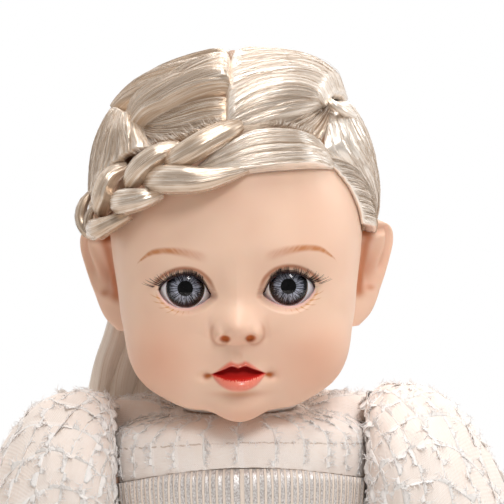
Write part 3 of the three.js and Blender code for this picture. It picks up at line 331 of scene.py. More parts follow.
def tube_faces(rows, columns):
    """Faces of a tube of rings, closed at both ends by a point that follows the rings."""
    ring = np.arange(columns)
    ahead = np.roll(ring, -1)
    faces = []
    for row in range(rows - 1):
        low, high = row * columns, (row + 1) * columns
        faces.append(np.stack((low + ring, low + ahead, high + ahead, high + ring), 1))
    faces = np.concatenate(faces).tolist()
    start, last = rows * columns, (rows - 1) * columns
    faces += np.stack((ahead, ring, np.full(columns, start)), 1).tolist()
    faces += np.stack((last + ring, last + ahead, np.full(columns, start + 1)), 1).tolist()
    return faces


def tube(grid, start=None, end=None):
    """Points and faces of a closed form over a grid of rings, with its faces pointing out."""
    rows, columns = grid.shape[:2]
    start = grid[0].mean(0) if start is None else start
    end = grid[-1].mean(0) if end is None else end
    points = np.concatenate((grid.reshape(-1, 3), [start, end]))
    faces = tube_faces(rows, columns)
    corners = [points[[face[i] for face in faces]] for i in (0, 1, 2)]
    inward = np.einsum("ij,ij->i", corners[0], np.cross(corners[1], corners[2])).sum() < 0
    return points, [face[::-1] for face in faces] if inward else faces


def joined(forms):
    """Several closed forms as one list of points and faces."""
    points, faces, count = [], [], 0
    for form_points, form_faces in forms:
        points.append(form_points)
        faces += [[count + i for i in face] for face in form_faces]
        count += len(form_points)
    return np.concatenate(points), faces


def hold(mesh, field, values):
    """Gives each point of a mesh a value, which a finish can read."""
    held = mesh.attributes.new(field, "FLOAT", "POINT")
    held.data.foreach_set("value", np.asarray(values, np.float32))


def new_piece(name, points, faces, material, uv=None, **fields):
    """A piece from points in millimetres, with its UVs and the values at its points, where it has them."""
    mesh = bpy.data.meshes.new(name)
    mesh.from_pydata((np.asarray(points) * MM).tolist(), [], faces)
    mesh.materials.append(material)
    for field, values in fields.items():
        hold(mesh, field, values)
    if uv is not None:
        corner = np.zeros(len(mesh.loops), int)
        mesh.loops.foreach_get("vertex_index", corner)
        mesh.uv_layers.new(name="UVMap").data.foreach_set("uv", uv[corner].astype(np.float32).ravel())
    mesh.shade_smooth()
    return link(bpy.data.objects.new(name, mesh))


# The eye opening, from its outer corner over the top to the inner corner and back below
LID_MIDDLE = (18.3, 46.5)
LID_OUTLINE = (
    (27.7, 46.9), (26.9, 48.6), (24.6, 50.7), (21.5, 52.2), (18, 52.8), (14.5, 52.1), (11.8, 50),
    (10.1, 47.2), (9.1, 44.7), (10.6, 43.1), (13.3, 41.5), (16, 40.6), (18.6, 40.3), (21.6, 40.8),
    (24.4, 42.3), (26.6, 44.6),
)


def lid_fields(x, z):
    """Distance outside the eye opening's edge, the turn round it from straight out, and its reach there."""
    steps = np.linspace(0, len(LID_OUTLINE), 600)
    edge = profile(list(enumerate(LID_OUTLINE + LID_OUTLINE[:1])), steps) - LID_MIDDLE
    edge_turn = np.unwrap(np.arctan2(edge[:, 1], edge[:, 0]))
    dx, dz = np.abs(x) - LID_MIDDLE[0], z - LID_MIDDLE[1]
    turn = np.arctan2(dz, dx)
    reach = np.interp(turn, edge_turn, np.hypot(*edge.T), period=2 * np.pi)
    return np.hypot(dx, dz) - reach, turn, reach


LIP_TOP = ((0, 20.9), (1.2, 21.2), (2.7, 21.7), (5, 20.3), (7.5, 18.5), (9.8, 17))
LIP_LOW = ((0, 11.1), (3, 11.4), (5.5, 12.5), (7.5, 14.1), (9.8, 16.9))
MOUTH_TOP = ((0, 19.2), (2.4, 19.9), (5, 18.9), (7.5, 17.9), (9.5, 17.0))
MOUTH_LOW = ((0, 15.3), (3, 15.4), (6, 15.9), (8, 16.5), (9.5, 16.9))
BROW_LINE = ((9, 57.8), (13, 58.9), (18.5, 60.2), (24.7, 60.8), (30, 59.9), (34.2, 56.9), (36, 55))
BROW_HALF = ((9, 1.4), (14, 1.4), (24, 1.15), (30, 1.0), (34.5, 0.4), (36, 0.3))


def between(low, top, across, z):
    """Millimetres inside a shape with a low and a top edge that meet at its corners."""
    inside = np.minimum(profile(top, across) - z, z - profile(low, across))
    return np.minimum(inside, top[-1][0] - across)


WING_Z = 31.4
NOSE_TIP_Z = 33.4


def nostril(x, z):
    """1 in the middle of a nostril, 0 at its edge and less outside."""
    return 1 - np.hypot((np.abs(x) - 4.5) / 2.8, (z - 30.0) / 1.9)


def wing_spread(x, z):
    """1 at the edge of a wing of the nose, and less inside."""
    return np.hypot((np.abs(x) - 5.9) / 3.2, (z - WING_Z) / np.where(z > WING_Z, 5.2, 3.7))


# Each soft spot of the face: its strength, from the middle, height, and spread across and up
BLUSH_SPOTS = ((0.75, 27.5, 21, 8.5, 8.5), (0.1, 0, 33, 5, 4), (0.6, 0, 1, 9, 3.5))
# The shade spots are painted shade: ochre in the mouth corners and in the groove under the lower lip.
SHADE_SPOTS = ((0.75, 11.3, 16.2, 1.1, 0.9), (0.5, 9.9, 16.6, 0.8, 0.5), (0.52, 0, 9.9, 7.5, 1.4))


def spot_tone(spots, across, z):
    """How strongly a tone lies on the face, from its soft spots."""
    tone = 0
    for strength, out, up, wide, tall in spots:
        tone = tone + strength * bell(across, out, wide) * bell(z, up, tall)
    return tone


# What the paint's values are where nothing is painted
UNPAINTED = {"lip": -9, "mouth": -9, "brow": 9, "lid": 20, "lid_turn": 0, "blush": 0, "deep": 0}
FACE_BACK_Y = -10


def face_paint(points):
    """Where the face is painted, as values at its points, in millimetres inside or off each edge."""
    x, y, z = points.T
    across = np.abs(x)
    lid, turn, _ = lid_fields(x, z)
    brow = (z - profile(BROW_LINE, across)) / profile(BROW_HALF, across) + 9 * ramp(across, 35, 37)
    # The deep field is painted shade: ochre in the nostrils, along the edges of the nose wings, in the mouth
    # corners and under the lower lip.
    wing_shade = 0.36 * bell(wing_spread(x, z), 1.06, 0.2)
    wing_shade *= ramp(across - 0.5 * (z - WING_Z), 3.0, 5.5) * ramp(-z, -37.5, -33)
    nostrils = 0.9 * ramp(nostril(x, z), -0.05, 0.8)
    painted = {
        "lip": between(LIP_LOW, LIP_TOP, across, z),
        "mouth": between(MOUTH_LOW, MOUTH_TOP, across, z),
        "brow": brow,
        "lid": lid,
        "blush": spot_tone(BLUSH_SPOTS, across, z),
        "deep": np.clip(nostrils + wing_shade + spot_tone(SHADE_SPOTS, across, z), 0, 1),
    }
    ahead = y < FACE_BACK_Y
    fields = {name: np.where(ahead, value, UNPAINTED[name]) for name, value in painted.items()}
    return {**fields, "lid_turn": turn}


def nose_relief(x, z):
    """A round tip that turns under, between two wings, with a hollow for each nostril."""
    below = np.maximum(6.2 - 0.022 * x**2, 2)
    under = np.maximum(1 - (np.minimum(z - NOSE_TIP_Z, 0) / below) ** 2, 0) ** 1.1
    tip = 8.8 * bell(x, 0, 5.0) * np.where(z > NOSE_TIP_Z, bell(z, NOSE_TIP_Z, 4.7), under)
    wing = 5.4 * np.maximum(1 - wing_spread(x, z) ** 2, 0) ** 1.1
    whole = (tip + wing + np.hypot(tip - wing, 1.6) - 1.6) / 2
    return whole - 2.8 * ramp(nostril(x, z), -0.15, 0.8)


def face_relief(x, z):
    """How far the features stand forward of the bare head, with parted lips and folded eyelids."""
    forward = nose_relief(x, z)
    for across, up, wide, above, below, out in FACE_RELIEF:
        tall = np.where(z > up, above, below)
        forward += out * bell(np.abs(x), across, wide) * bell(z, up, tall)
    lip = between(LIP_LOW, LIP_TOP, np.abs(x), z)
    mouth = between(MOUTH_LOW, MOUTH_TOP, np.abs(x), z)
    forward += 1.2 * ramp(lip, -0.3, 1.6) - 3.4 * ramp(mouth, -0.3, 1.0)
    lid, turn, _ = lid_fields(x, z)
    upper = ramp(np.sin(turn), 0.0, 0.5)
    return forward + upper * (0.45 * bell(lid, 0.7, 0.5) - 0.5 * bell(lid, 1.8, 0.45))


def head_form():
    """The bare head with its face, and a round socket pushed in behind each eye opening."""
    turns = np.radians(crowded(-180, 180, HEAD_COLUMNS, low=-42, high=42, gain=7))[:-1]
    falls = np.radians(crowded(0, 180, HEAD_ROWS, low=62, high=140, gain=6))[1:-1, None]
    level = np.sin(falls)
    rays = np.stack((level * np.sin(turns), -level * np.cos(turns), np.cos(falls) + 0 * turns), -1)
    poles = along_rays(HEAD_CORE, np.array(((0.0, 0, 1), (0, 0, -1))), 0)
    skin = along_rays(HEAD_CORE, rays, 0)
    x, y, z = np.moveaxis(skin, -1, 0)
    y -= ramp(-y, 8, 26) * face_relief(x, z)
    fields = face_paint(skin.reshape(-1, 3))
    lid, turn, reach = lid_fields(x, z)
    ahead = y < FACE_BACK_Y
    side = np.sign(x)
    rim = ahead & (np.abs(lid) < RIM_SNAP)
    lid = np.where(rim, 0.0, lid)
    rim_x = LID_MIDDLE[0] + reach * np.cos(turn)
    rim_z = LID_MIDDLE[1] + reach * np.sin(turn)
    x[rim] = (side * rim_x)[rim]
    z[rim] = rim_z[rim]
    rim_reach = np.hypot(rim_x - EYE[0], rim_z - EYE[2])
    seat = EYE[1] - np.sqrt(RIM_RADIUS**2 - rim_reach**2)
    y += np.where(ahead, (seat - y) * (1 - ramp(lid, 0, RIM_FALL)) ** 1.2, 0)
    inside = ahead & (lid < 0)
    back = SOCKET_BACK * (1 + np.minimum(lid, 0) / reach)
    x[inside] = (side * (EYE[0] + SOCKET_RADIUS * np.sin(back) * np.cos(turn)))[inside]
    z[inside] = (EYE[2] + SOCKET_RADIUS * np.sin(back) * np.sin(turn))[inside]
    y[inside] = (EYE[1] + SOCKET_RADIUS * np.cos(back))[inside]
    fields = {name: np.append(values, [UNPAINTED[name]] * 2) for name, values in fields.items()}
    return tube(skin, poles[0], poles[1]), fields


EAR_LOBE_Z = 28.5
EAR_LENGTH = 39.0
EAR_REACH = 16.0
EAR_ROOT = 4.0
EAR_THICKNESS = 4.4
EAR_LEAN = np.radians(42)
EAR_TURN = np.radians(94)
EAR_RAY = 120.0
EAR_BLUSH = 0.12
EAR_SHADE = 0.7
EAR_OUTLINE = (
    (0, 0.34), (0.1, 0.62), (0.22, 0.76), (0.4, 0.86), (0.6, 0.95), (0.8, 1), (0.93, 0.86), (1, 0.45),
)


def ear_form(side):
    """An ear with its rolled rim, inner ridge, bowl and lobe, and how much painted shade each point takes in
    its hollows.
    """
    shares = 0.5 - 0.5 * np.cos(np.linspace(0.1, np.pi - 0.1, 64))[:, None]
    around = np.linspace(0, 2 * np.pi, 72, endpoint=False)
    z = EAR_LOBE_Z + EAR_LENGTH * shares + 0 * around
    reach = EAR_REACH * profile(EAR_OUTLINE, shares)
    half = (reach + EAR_ROOT) / 2
    outward = half * (1 + np.cos(around)) - EAR_ROOT
    level = np.stack((0 * shares, 0 * shares, EAR_LOBE_Z + EAR_LENGTH * shares), -1)
    ray = np.array((side * np.sin(EAR_TURN), -np.cos(EAR_TURN), 0.0))
    base = along_rays(level, ray + 0 * level, 0, EAR_RAY)
    ends = np.minimum(1.1 * (EAR_LOBE_Z + EAR_LENGTH - z), z - EAR_LOBE_Z + 1.5)
    edge = np.minimum(reach - outward, ends)
    rim = bell(edge, 1.3, 1.0) * ramp(z, 40, 46)
    groove = bell(edge, 4.0, 1.1) * ramp(z, 46, 52)
    ridge = 0.9 * bell(edge, 7.0, 1.3) * ramp(z, 44, 50)
    bowl = bell(outward, 5.4, 3.0) * bell(z, 49.5, 5.4)
    tragus = bell(outward, 1.2, 1.2) * bell(z, 47, 2.4)
    tragus += 0.9 * bell(outward, 5.5, 2.4) * bell(z, 40.8, 1.5)
    front = np.clip(-np.sin(around), 0, 1) ** 0.5
    thick = EAR_THICKNESS / 2 * np.sin(around) - front * (rim - 1.3 * groove + ridge - 3.4 * bowl + tragus)
    out = np.array((side * np.cos(EAR_LEAN), np.sin(EAR_LEAN), 0))
    deep = np.array((-side * np.sin(EAR_LEAN), np.cos(EAR_LEAN), 0))
    grid = base + outward[..., None] * out + thick[..., None] * deep
    # The root, the groove and the bowl set how much painted shade each point of the ear's front takes.
    root = bell(outward, 0.6, 2.4) * ramp(z, 36, 42) + 0.6 * bell(outward, 7.5, 2.0) * bell(z, 42.2, 1.0)
    return tube(grid), np.append(np.clip(front * (0.4 * groove + 0.55 * bowl + root), 0, 1), [0, 0])


BLUSH = shown_as(224, 140, 102)
# Ochre painted shade for the hollows of the face and ears
HOLLOW_SHADE = shown_as(184, 98, 42)
LIP = shown_as(232, 112, 92)
LIP_PALE = shown_as(240, 124, 102)
MOUTH_SHADE = shown_as(150, 2, 2)
MOUTH_FLOOR = shown_as(208, 22, 10)
BROW = shown_as(192, 116, 52)
BROW_SOFT = shown_as(206, 146, 118)
LASH_PAINT = shown_as(208, 142, 80)
LID_CREASE_SHADE = shown_as(180, 106, 66)
LASH_LINE = shown_as(60, 30, 28)
WATERLINE = shown_as(240, 190, 180)


def face_finish():
    material, paint, shader = new_finish("painted_vinyl_face", **VINYL, Coat_Roughness=0.12)
    place = paint.node("ShaderNodeTexCoord", out="Object")
    x, z = (paint.node("ShaderNodeSeparateXYZ", {0: place}, axis) for axis in "XZ")
    across = abs(x) / MM
    up = z / MM - CHIN_Z
    colour = skin_colour(paint, place)
    colour = (0.5 * paint.field("blush")).mix(colour, BLUSH)
    # Painted shade from the deep field: ochre in the nostrils, mouth corners, nose folds, lip groove and
    # ears.
    colour = paint.field("deep").smooth(0.05, 0.9).mix(colour, HOLLOW_SHADE)

    lip = paint.field("lip")
    streak = paint.noise(paint.stretched(place, 2600, 500, 160), 1.0, 3.0)
    lip_tone = up.smooth(11.5, 20.5).mix(LIP_PALE, LIP)
    colour = (lip.smooth(-0.5, 1.0) * (0.75 + 0.25 * streak)).mix(colour, lip_tone)
    mouth = paint.field("mouth")
    feather = mouth + 3.2 * (streak - 0.42) * up.smooth(17.0, 15.0)
    # The inside of the mouth is red, darker towards the top as painted shade under the upper lip.
    colour = feather.smooth(-0.35, 0.25).mix(colour, up.smooth(15.4, 19.0).mix(MOUTH_FLOOR, MOUTH_SHADE))

    brow = paint.field("brow")
    slant = {0: (across - 0.9 * up) * 1.7, 1: (up + 0.3 * across) * 0.2}
    stroke = paint.noise(paint.node("ShaderNodeCombineXYZ", slant), 1.0).smooth(0.36, 0.62)
    outer = across.smooth(13.0, 25.0)
    weight = abs(brow).smooth(1.9 - 0.4 * outer, 0.2) * across.smooth(9.0, 14.0) * across.smooth(36.0, 33.0)
    brow_tone = outer.mix(BROW_SOFT, BROW)
    colour = (weight * (0.7 + 0.3 * stroke) * (0.55 + 0.35 * outer)).mix(colour, brow_tone)

    lid = paint.field("lid")
    turn = paint.field("lid_turn")
    upper = turn.smooth(0.0, 0.35) * turn.smooth(3.3, 2.7)
    # Painted shade along the fold above the upper lid, under the rim of the opening.
    colour = (0.75 * abs(lid - 1.8).smooth(1.3, 0.0) * upper).mix(colour, LID_CREASE_SHADE)
    colour = (0.9 * abs(lid).smooth(0.5, 0.15) * upper).mix(colour, LASH_LINE)
    lower = turn.smooth(0.05, -0.2) * turn.smooth(-3.0, -2.4)
    colour = (abs(lid - 0.1).smooth(0.9, 0.3) * lower).mix(colour, WATERLINE)
    outer = turn.smooth(-2.3, -0.4)
    flick = paint.math("FRACT", turn * 4.2 - lid * (0.12 + 0.2 * outer))
    line = abs(flick - 0.5).smooth(0.2, 0.02) * lid.smooth(0.7, 1.1) * (lid - 2.2 * outer).smooth(2.0, 0.8)
    rule = abs(lid - 1.3).smooth(0.8, 0.1) * 0.5 * outer
    lashes = (line * (0.1 + 0.45 * outer) + rule) * lower
    lashes.smooth(0, 1).mix(colour, LASH_PAINT).into(shader, "Base Color")
    grain = paint.noise(place, 420.0)
    wet = lip.smooth(0.0, 1.2) * mouth.smooth(0.2, -0.3)
    (0.4 + 0.1 * grain - 0.16 * wet + 0.4 * mouth.smooth(-0.2, 0.4)).into(shader, "Roughness")
    (0.5 * wet).into(shader, "Coat Weight")
    (grain + 6.0 * streak * wet).bump(0.12, 0.00005).into(shader, "Normal")
    return material


head, head_fields = head_form()
ears = [ear_form(side) for side in SIDES.values()]
# The ears take a little blush, and painted shade in their hollows.
for _, depth in ears:
    ear_fields = {**UNPAINTED, "blush": EAR_BLUSH, "deep": EAR_SHADE * depth}
    for field, values in ear_fields.items():
        head_fields[field] = np.append(head_fields[field], np.broadcast_to(values, len(depth)))
points, faces = joined([head] + [form for form, _ in ears])
face = new_piece("head_skin", points + (0, 0, CHIN_Z), faces, face_finish(), **head_fields)
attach(face, "head")
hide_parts("head_shell")

# Eyes
# Each eye is a white plastic ball with a grey-blue iris sunk behind a clear dome, and a vinyl lid glued on.
# A weight behind the ball swings it shut on its axle when the doll lies down. The lashes are cut nylon.
IRIS_RADIUS = 6.9
IRIS_Y = -7.57
IRIS_THICKNESS = 1.0
IRIS_DISH = 0.5
IRIS_CLEARANCE = 0.15
IRIS_COLUMNS = 96
EYE_COLUMNS = 72
SEAT_DEPTH = 1.2
GLOBE_BACK = np.radians(127)
DOME_THICKNESS = 0.35
LID_INNER = 10.8
LID_OUTER = 11.4
LID_SHOWN = 0.6
LID_BACK = np.radians(118)
LID_SPREAD = np.radians(56)
LID_ROWS = 40
OFF_EDGE = 9.0
LASH_COUNT = 84
LASH_STEPS = 7
LASH_RADIUS = 0.1
LASH_TAPER = 0.7
WHITE = shown_as(250, 248, 253)


def ball_point(radius, rise, across):
    """A point of the eye's globe, by its angle above straight ahead and to the side."""
    level = radius * np.cos(across)
    point = radius * np.sin(across), -level * np.cos(rise), level * np.sin(rise)
    return np.stack(np.broadcast_arrays(*point), -1)


def turned(stations, count):
    """A form turned about the eye's line of sight, from stations of (y, radius)."""
    y, radius = np.array(stations, float).T[:, :, None]
    around = np.linspace(0, 2 * np.pi, count, endpoint=False)
    return np.stack(np.broadcast_arrays(radius * np.cos(around), y, radius * np.sin(around)), -1)


def globe_form():
    """The white ball, with a round seat sunk in its front for the iris and its back cut flat."""
    rim = np.arcsin(IRIS_RADIUS / EYE_RADIUS)
    falls = np.linspace(rim, GLOBE_BACK, 40)
    outside = [(-EYE_RADIUS * np.cos(a), EYE_RADIUS * np.sin(a)) for a in falls]
    seat = IRIS_Y + SEAT_DEPTH
    sunk = [(seat, 1.0), (seat, IRIS_RADIUS)]
    return tube(turned(sunk + outside + [(outside[-1][0], 1.0)], EYE_COLUMNS))


def iris_form():
    """A thin dished disc that lies behind the clear dome."""
    radii = np.linspace(0.4, IRIS_RADIUS - IRIS_CLEARANCE, 16)
    front = [(IRIS_Y + IRIS_DISH * (1 - radius / IRIS_RADIUS), radius) for radius in radii]
    back = IRIS_Y + IRIS_THICKNESS
    return tube(turned(front + [(back, radii[-1]), (back, radii[0])], IRIS_COLUMNS))


def cornea_form():
    """The clear dome over the iris, which carries on the ball's curve."""
    rim = np.arcsin((IRIS_RADIUS - 0.05) / EYE_RADIUS)
    dome = [(-EYE_RADIUS * np.cos(a), EYE_RADIUS * np.sin(a)) for a in np.linspace(0.03, rim, 20)]
    under = [(y + DOME_THICKNESS, radius) for y, radius in reversed(dome)]
    return tube(turned(dome + under, EYE_COLUMNS))


def lid_edge(across, side):
    """How high the lid's lower edge stands at angles to the side, to show as a line under the rim."""
    beside = EYE[0] + side * LID_OUTER * np.sin(across)
    top = profile(LID_OUTLINE[8::-1], beside) - LID_SHOWN - EYE[2]
    return np.arcsin(np.clip(top / (LID_OUTER * np.cos(across)), -0.3, 0.6))


def lid_form(side):
    """The curved lid over the top of the ball, and how near each point is to its lower edge."""
    across = np.linspace(-LID_SPREAD, LID_SPREAD, 64)[:, None]
    down = np.linspace(0, 1, LID_ROWS)[None, :]
    low = lid_edge(across, side)
    rise = np.concatenate((low + (LID_BACK - low) * down, LID_BACK + (low - LID_BACK) * down), 1)
    radius = np.repeat((LID_OUTER, LID_INNER), LID_ROWS)[None, :]
    grid = ball_point(radius, rise, across)
    return tube(grid), np.append(((rise - low) * LID_OUTER).ravel(), [OFF_EDGE, OFF_EDGE])


def white_finish():
    fixed = {"Roughness": 0.16, "Subsurface_Weight": 0.1, "Subsurface_Scale": 0.002}
    material, paint, shader = new_finish("eye_white", **fixed)
    place = paint.node("ShaderNodeTexCoord", out="Object")
    cloud = paint.noise(place, 140.0).smooth(0.3, 0.7)
    cloud.mix(shown_as(244, 240, 248), WHITE).into(shader, "Base Color")
    return material


def iris_finish():
    """Grey-blue fibres that run in from a dark ring to a black pupil, paler below."""
    material, paint, shader = new_finish("iris_print", Roughness=0.5, Specular_IOR_Level=0.0)
    place = paint.node("ShaderNodeTexCoord", out="Object")
    x, z = (paint.node("ShaderNodeSeparateXYZ", {0: place}, axis) for axis in "XZ")
    dx = abs(x) / MM - EYE[0]
    dz = z / MM - (CHIN_Z + EYE[2])
    radius = (dx * dx + dz * dz) ** 0.5
    turn = paint.math("ARCTAN2", dz, dx)
    off_centre = radius + 0.01
    ring = paint.node("ShaderNodeCombineXYZ", {0: dx / off_centre * 9.0, 1: dz / off_centre * 9.0})
    long_fibre = paint.noise(ring, 1.4, 4.0)
    fine = paint.noise(paint.node("ShaderNodeCombineXYZ", {0: turn * 16.0, 1: radius * 0.5}), 1.0, 2.0)
    below = dz.smooth(3.0, -5.0)
    light = (0.5 * long_fibre + 0.5 * fine).smooth(0.45, 0.55) * (0.66 + 0.34 * below)
    colour = light.mix(shown_as(40, 42, 58), shown_as(220, 227, 247))
    colour = (radius + 3.2 * (fine - 0.5)).smooth(4.8, 5.9).mix(colour, shown_as(12, 10, 14))
    pupil = (radius + 0.3 * (fine - 0.5)).smooth(2.95, 2.65)
    pupil.mix(colour, shown_as(6, 5, 7)).into(shader, "Base Color")
    return material


def clear_finish():
    """Clear plastic: it lets the iris through and keeps a sharp reflection."""
    material, paint, shader = new_finish("clear_dome")
    clear = paint.node("ShaderNodeBsdfTransparent", {"Color": (1, 1, 1, 1)})
    shine = paint.node("ShaderNodeBsdfGlossy", {"Roughness": 0.03})
    fresnel = paint.node("ShaderNodeFresnel", {"IOR": 1.35})
    paint.node("ShaderNodeMixShader", {0: fresnel, 1: clear, 2: shine}).into(
        material.node_tree.nodes["Material Output"], "Surface")
    material.node_tree.nodes.remove(shader)
    return material


def lid_finish():
    material, paint, shader = new_finish("painted_lid", **VINYL)
    place = paint.node("ShaderNodeTexCoord", out="Object")
    edge = paint.field("edge").smooth(0.75, 0.3)
    edge.mix(skin_colour(paint, place), shown_as(52, 26, 26)).into(shader, "Base Color")
    skin_grain(paint, place, shader)
    return material


def fibre_finish(name, dark, light, roughness, **fixed):
    """Fibres whose tone changes from one to the next and a little along each."""
    material, paint, shader = new_finish(name, Roughness=roughness, **fixed)
    place = paint.node("ShaderNodeTexCoord", out="Object")
    tone = 0.75 * paint.field("tone") + 0.25 * paint.noise(place, 260.0)
    tone.smooth(0.1, 0.9).mix(dark, light).into(shader, "Base Color")
    return material


def strand_tree():
    """Round tapering strands along the edges of a mesh."""
    tree = bpy.data.node_groups.new("strands", "GeometryNodeTree")
    inputs = {"Geometry": "Geometry", "Radius": "Float", "Taper": "Float", "Finish": "Material"}
    for name, kind in inputs.items():
        tree.interface.new_socket(name, in_out="INPUT", socket_type=f"NodeSocket{kind}")
    tree.interface.new_socket("Geometry", in_out="OUTPUT", socket_type="NodeSocketGeometry")
    paint = Paint(tree)
    entry = tree.nodes.new("NodeGroupInput")
    source, radius, taper, finish = (Paint(tree, socket) for socket in list(entry.outputs)[:4])
    line = paint.node("GeometryNodeMeshToCurve", {"Mesh": source})
    along = paint.node("GeometryNodeSplineParameter", out="Factor")
    section = paint.node("GeometryNodeCurvePrimitiveCircle", {"Resolution": 3, "Radius": radius})
    thinner = 1 - taper * along * along
    sockets = {"Curve": line, "Profile Curve": section, "Scale": thinner, "Fill Caps": True}
    drawn = paint.node("GeometryNodeCurveToMesh", sockets)
    whole = paint.node("GeometryNodeRealizeInstances", {"Geometry": drawn})
    dyed = paint.node("GeometryNodeSetMaterial", {"Geometry": whole, "Material": finish})
    exit_node = tree.nodes.new("NodeGroupOutput")
    dyed.into(exit_node, 0)
    return tree


def grow(piece, tree, **inputs):
    """Runs a node tree on a piece and keeps the result as its plain mesh."""
    modifier = piece.modifiers.new("Grow", "NODES")
    modifier.node_group = tree
    for item in tree.interface.items_tree:
        if item.in_out == "INPUT" and item.name in inputs:
            modifier[item.identifier] = inputs[item.name]
    settle(piece)
    return piece


strands = strand_tree()


def strand_piece(name, paths, tones, material, radius, taper):
    """Strands along paths of equal length, each with its own tone."""
    count, steps = paths.shape[:2]
    index = np.arange(count * steps).reshape(count, steps)
    edges = np.stack((index[:, :-1].ravel(), index[:, 1:].ravel()), 1)
    mesh = bpy.data.meshes.new(name)
    mesh.from_pydata((paths.reshape(-1, 3) * MM).tolist(), edges.tolist(), [])
    hold(mesh, "tone", np.repeat(tones, steps))
    piece = link(bpy.data.objects.new(name, mesh))
    return grow(piece, strands, Radius=radius * MM, Taper=taper, Finish=material)


def lash_paths(side, rng):
    """Upper lashes along the lid's edge: short spikes, longer and leaning out to the outer corner."""
    outer = np.sort(rng.uniform(0, 1, LASH_COUNT)) ** 0.85
    across = side * np.radians(-36 + 90 * outer)
    height = lid_edge(across, side) + rng.uniform(-0.01, 0.03, LASH_COUNT)
    root = ball_point(LID_OUTER - 0.05, height, across)
    length = (2.3 + 4.0 * outer**4) * rng.uniform(0.75, 1.1, LASH_COUNT)
    lean = side * (-0.12 + 2.0 * outer**4) + rng.normal(0, 0.1, LASH_COUNT)
    along = np.linspace(0, 1, LASH_STEPS)[None, :, None]
    ahead = unit(np.stack((lean, -0.95 + 0.4 * outer**3, 0.35 + 0 * lean), -1))[:, None]
    rise = 0.6 - 0.45 * outer**3
    curl = np.stack((0 * rise, 0 * rise, rise), -1)[:, None] * along**2
    return root[:, None] + length[:, None, None] * (ahead * along + curl), rng.uniform(0, 0.6, LASH_COUNT)


white, iris_print, clear, lid_paint = white_finish(), iris_finish(), clear_finish(), lid_finish()
lash_nylon = fibre_finish("lash_nylon", shown_as(24, 12, 14), shown_as(50, 27, 27), roughness=0.5)
for word, side in SIDES.items():
    rng = np.random.default_rng(11)
    place = EYE * (side, 1, 1) + (0, 0, CHIN_Z)
    lid, edge = lid_form(side)
    forms = (
        ("eyeball", globe_form(), white, "white_plastic", {}),
        ("iris", iris_form(), iris_print, "iris", {}),
        ("cornea", cornea_form(), clear, "clear_plastic", {}),
        ("eyelid", lid, lid_paint, "vinyl", {"edge": edge}),
    )
    for node, (points, faces), material, slot, fields in forms:
        piece = new_piece(f"{node}_{word}_finished", points + place, faces, material, **fields)
        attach(piece, f"eye_{word}")
        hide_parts(f"{node}_{word}")
    paths, tones = lash_paths(side, rng)
    lashes = strand_piece(f"lashes_{word}", paths + place, tones, lash_nylon, LASH_RADIUS, LASH_TAPER)
    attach(lashes, f"eye_{word}")
    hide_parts(f"eyelashes_{word}")

# Hair cap
# Ash-blonde nylon, rooted in rows of plugs through the scalp and parted in the middle and above the brow.
# Each row is combed down and back over the hair that is rooted below it.
HAIR_CORE = np.array((0.0, 4.0, 68.0))
FRONT_START_Y = 6.0
FRONT_RAY = 96.0
EDGE_ROLL = 0.07
ROOT_LIFT = 1.6
LOCK_ALLOWANCE = 3.0
SHEET_DEPTH = 3.0
STRAND_RADIUS = 0.06
STRAND_TAPER = 0.5
HAIR_UNDER_SHADE = shown_as(160, 124, 96)
HAIR_LOW = shown_as(188, 161, 134)
HAIR_MIDDLE = shown_as(232, 213, 192)
HAIR_HIGH = shown_as(255, 246, 236)


def front_points(places, lift):
    """Points over the front of the bare head, seen from ahead, from their (x, z) places."""
    x, z = np.asarray(places, float).T
    starts = np.stack((x, np.full(len(x), FRONT_START_Y), z), -1)
    return along_rays(starts, np.broadcast_to((0.0, -1.0, 0.0), starts.shape), lift, FRONT_RAY)


def lengths(line):
    """Millimetres along a line, at each of its points."""
    return np.append(0, np.cumsum(np.linalg.norm(np.diff(line, axis=0), axis=1)))


def resampled(line, count):
    """A smooth line through points, at even steps of its length."""
    line = np.asarray(line, float)
    along = lengths(line)
    return profile(list(zip(along / along[-1], line)), np.linspace(0, 1, count))


def slab(outer, inner, around=False):
    """Points and faces of a closed sheet between an outer and an inner grid."""
    rows, columns = outer.shape[:2]
    front = np.arange(rows * columns).reshape(rows, columns)
    front = np.append(front, front[:, :1], 1) if around else front
    back = front + rows * columns

    def quads(grid):
        return np.stack((grid[:-1, :-1], grid[:-1, 1:], grid[1:, 1:], grid[1:, :-1]), -1).reshape(-1, 4)

    rims = [np.stack((back[0], front[0])), np.stack((front[-1], back[-1]))]
    if not around:
        rims += [np.stack((back[:, 0], front[:, 0]), 1), np.stack((front[:, -1], back[:, -1]), 1)]
    faces = np.concatenate([quads(front), quads(back)[:, ::-1]] + [quads(rim) for rim in rims])
    points = np.concatenate((outer.reshape(-1, 3), inner.reshape(-1, 3)))
    a, b, c = (points[faces[:, i]] for i in (0, 1, 2))
    inward = np.einsum("ij,ij->i", a - points.mean(0), np.cross(b - a, c - a)).sum() < 0
    return points, (faces[:, ::-1] if inward else faces).tolist()


def sampled(grid, u, v):
    """Places on a grid by shares of the way across its columns and down its rows."""
    rows, columns = grid.shape[:2]
    down, across = np.clip(v, 0, 1) * (rows - 1), np.clip(u, 0, 1) * (columns - 1)
    row, column = np.minimum(down.astype(int), rows - 2), np.minimum(across.astype(int), columns - 2)
    t, s = (down - row)[..., None], (across - column)[..., None]
    low = grid[row, column] * (1 - s) + grid[row, column + 1] * s
    high = grid[row + 1, column] * (1 - s) + grid[row + 1, column + 1] * s
    return low * (1 - t) + high * t


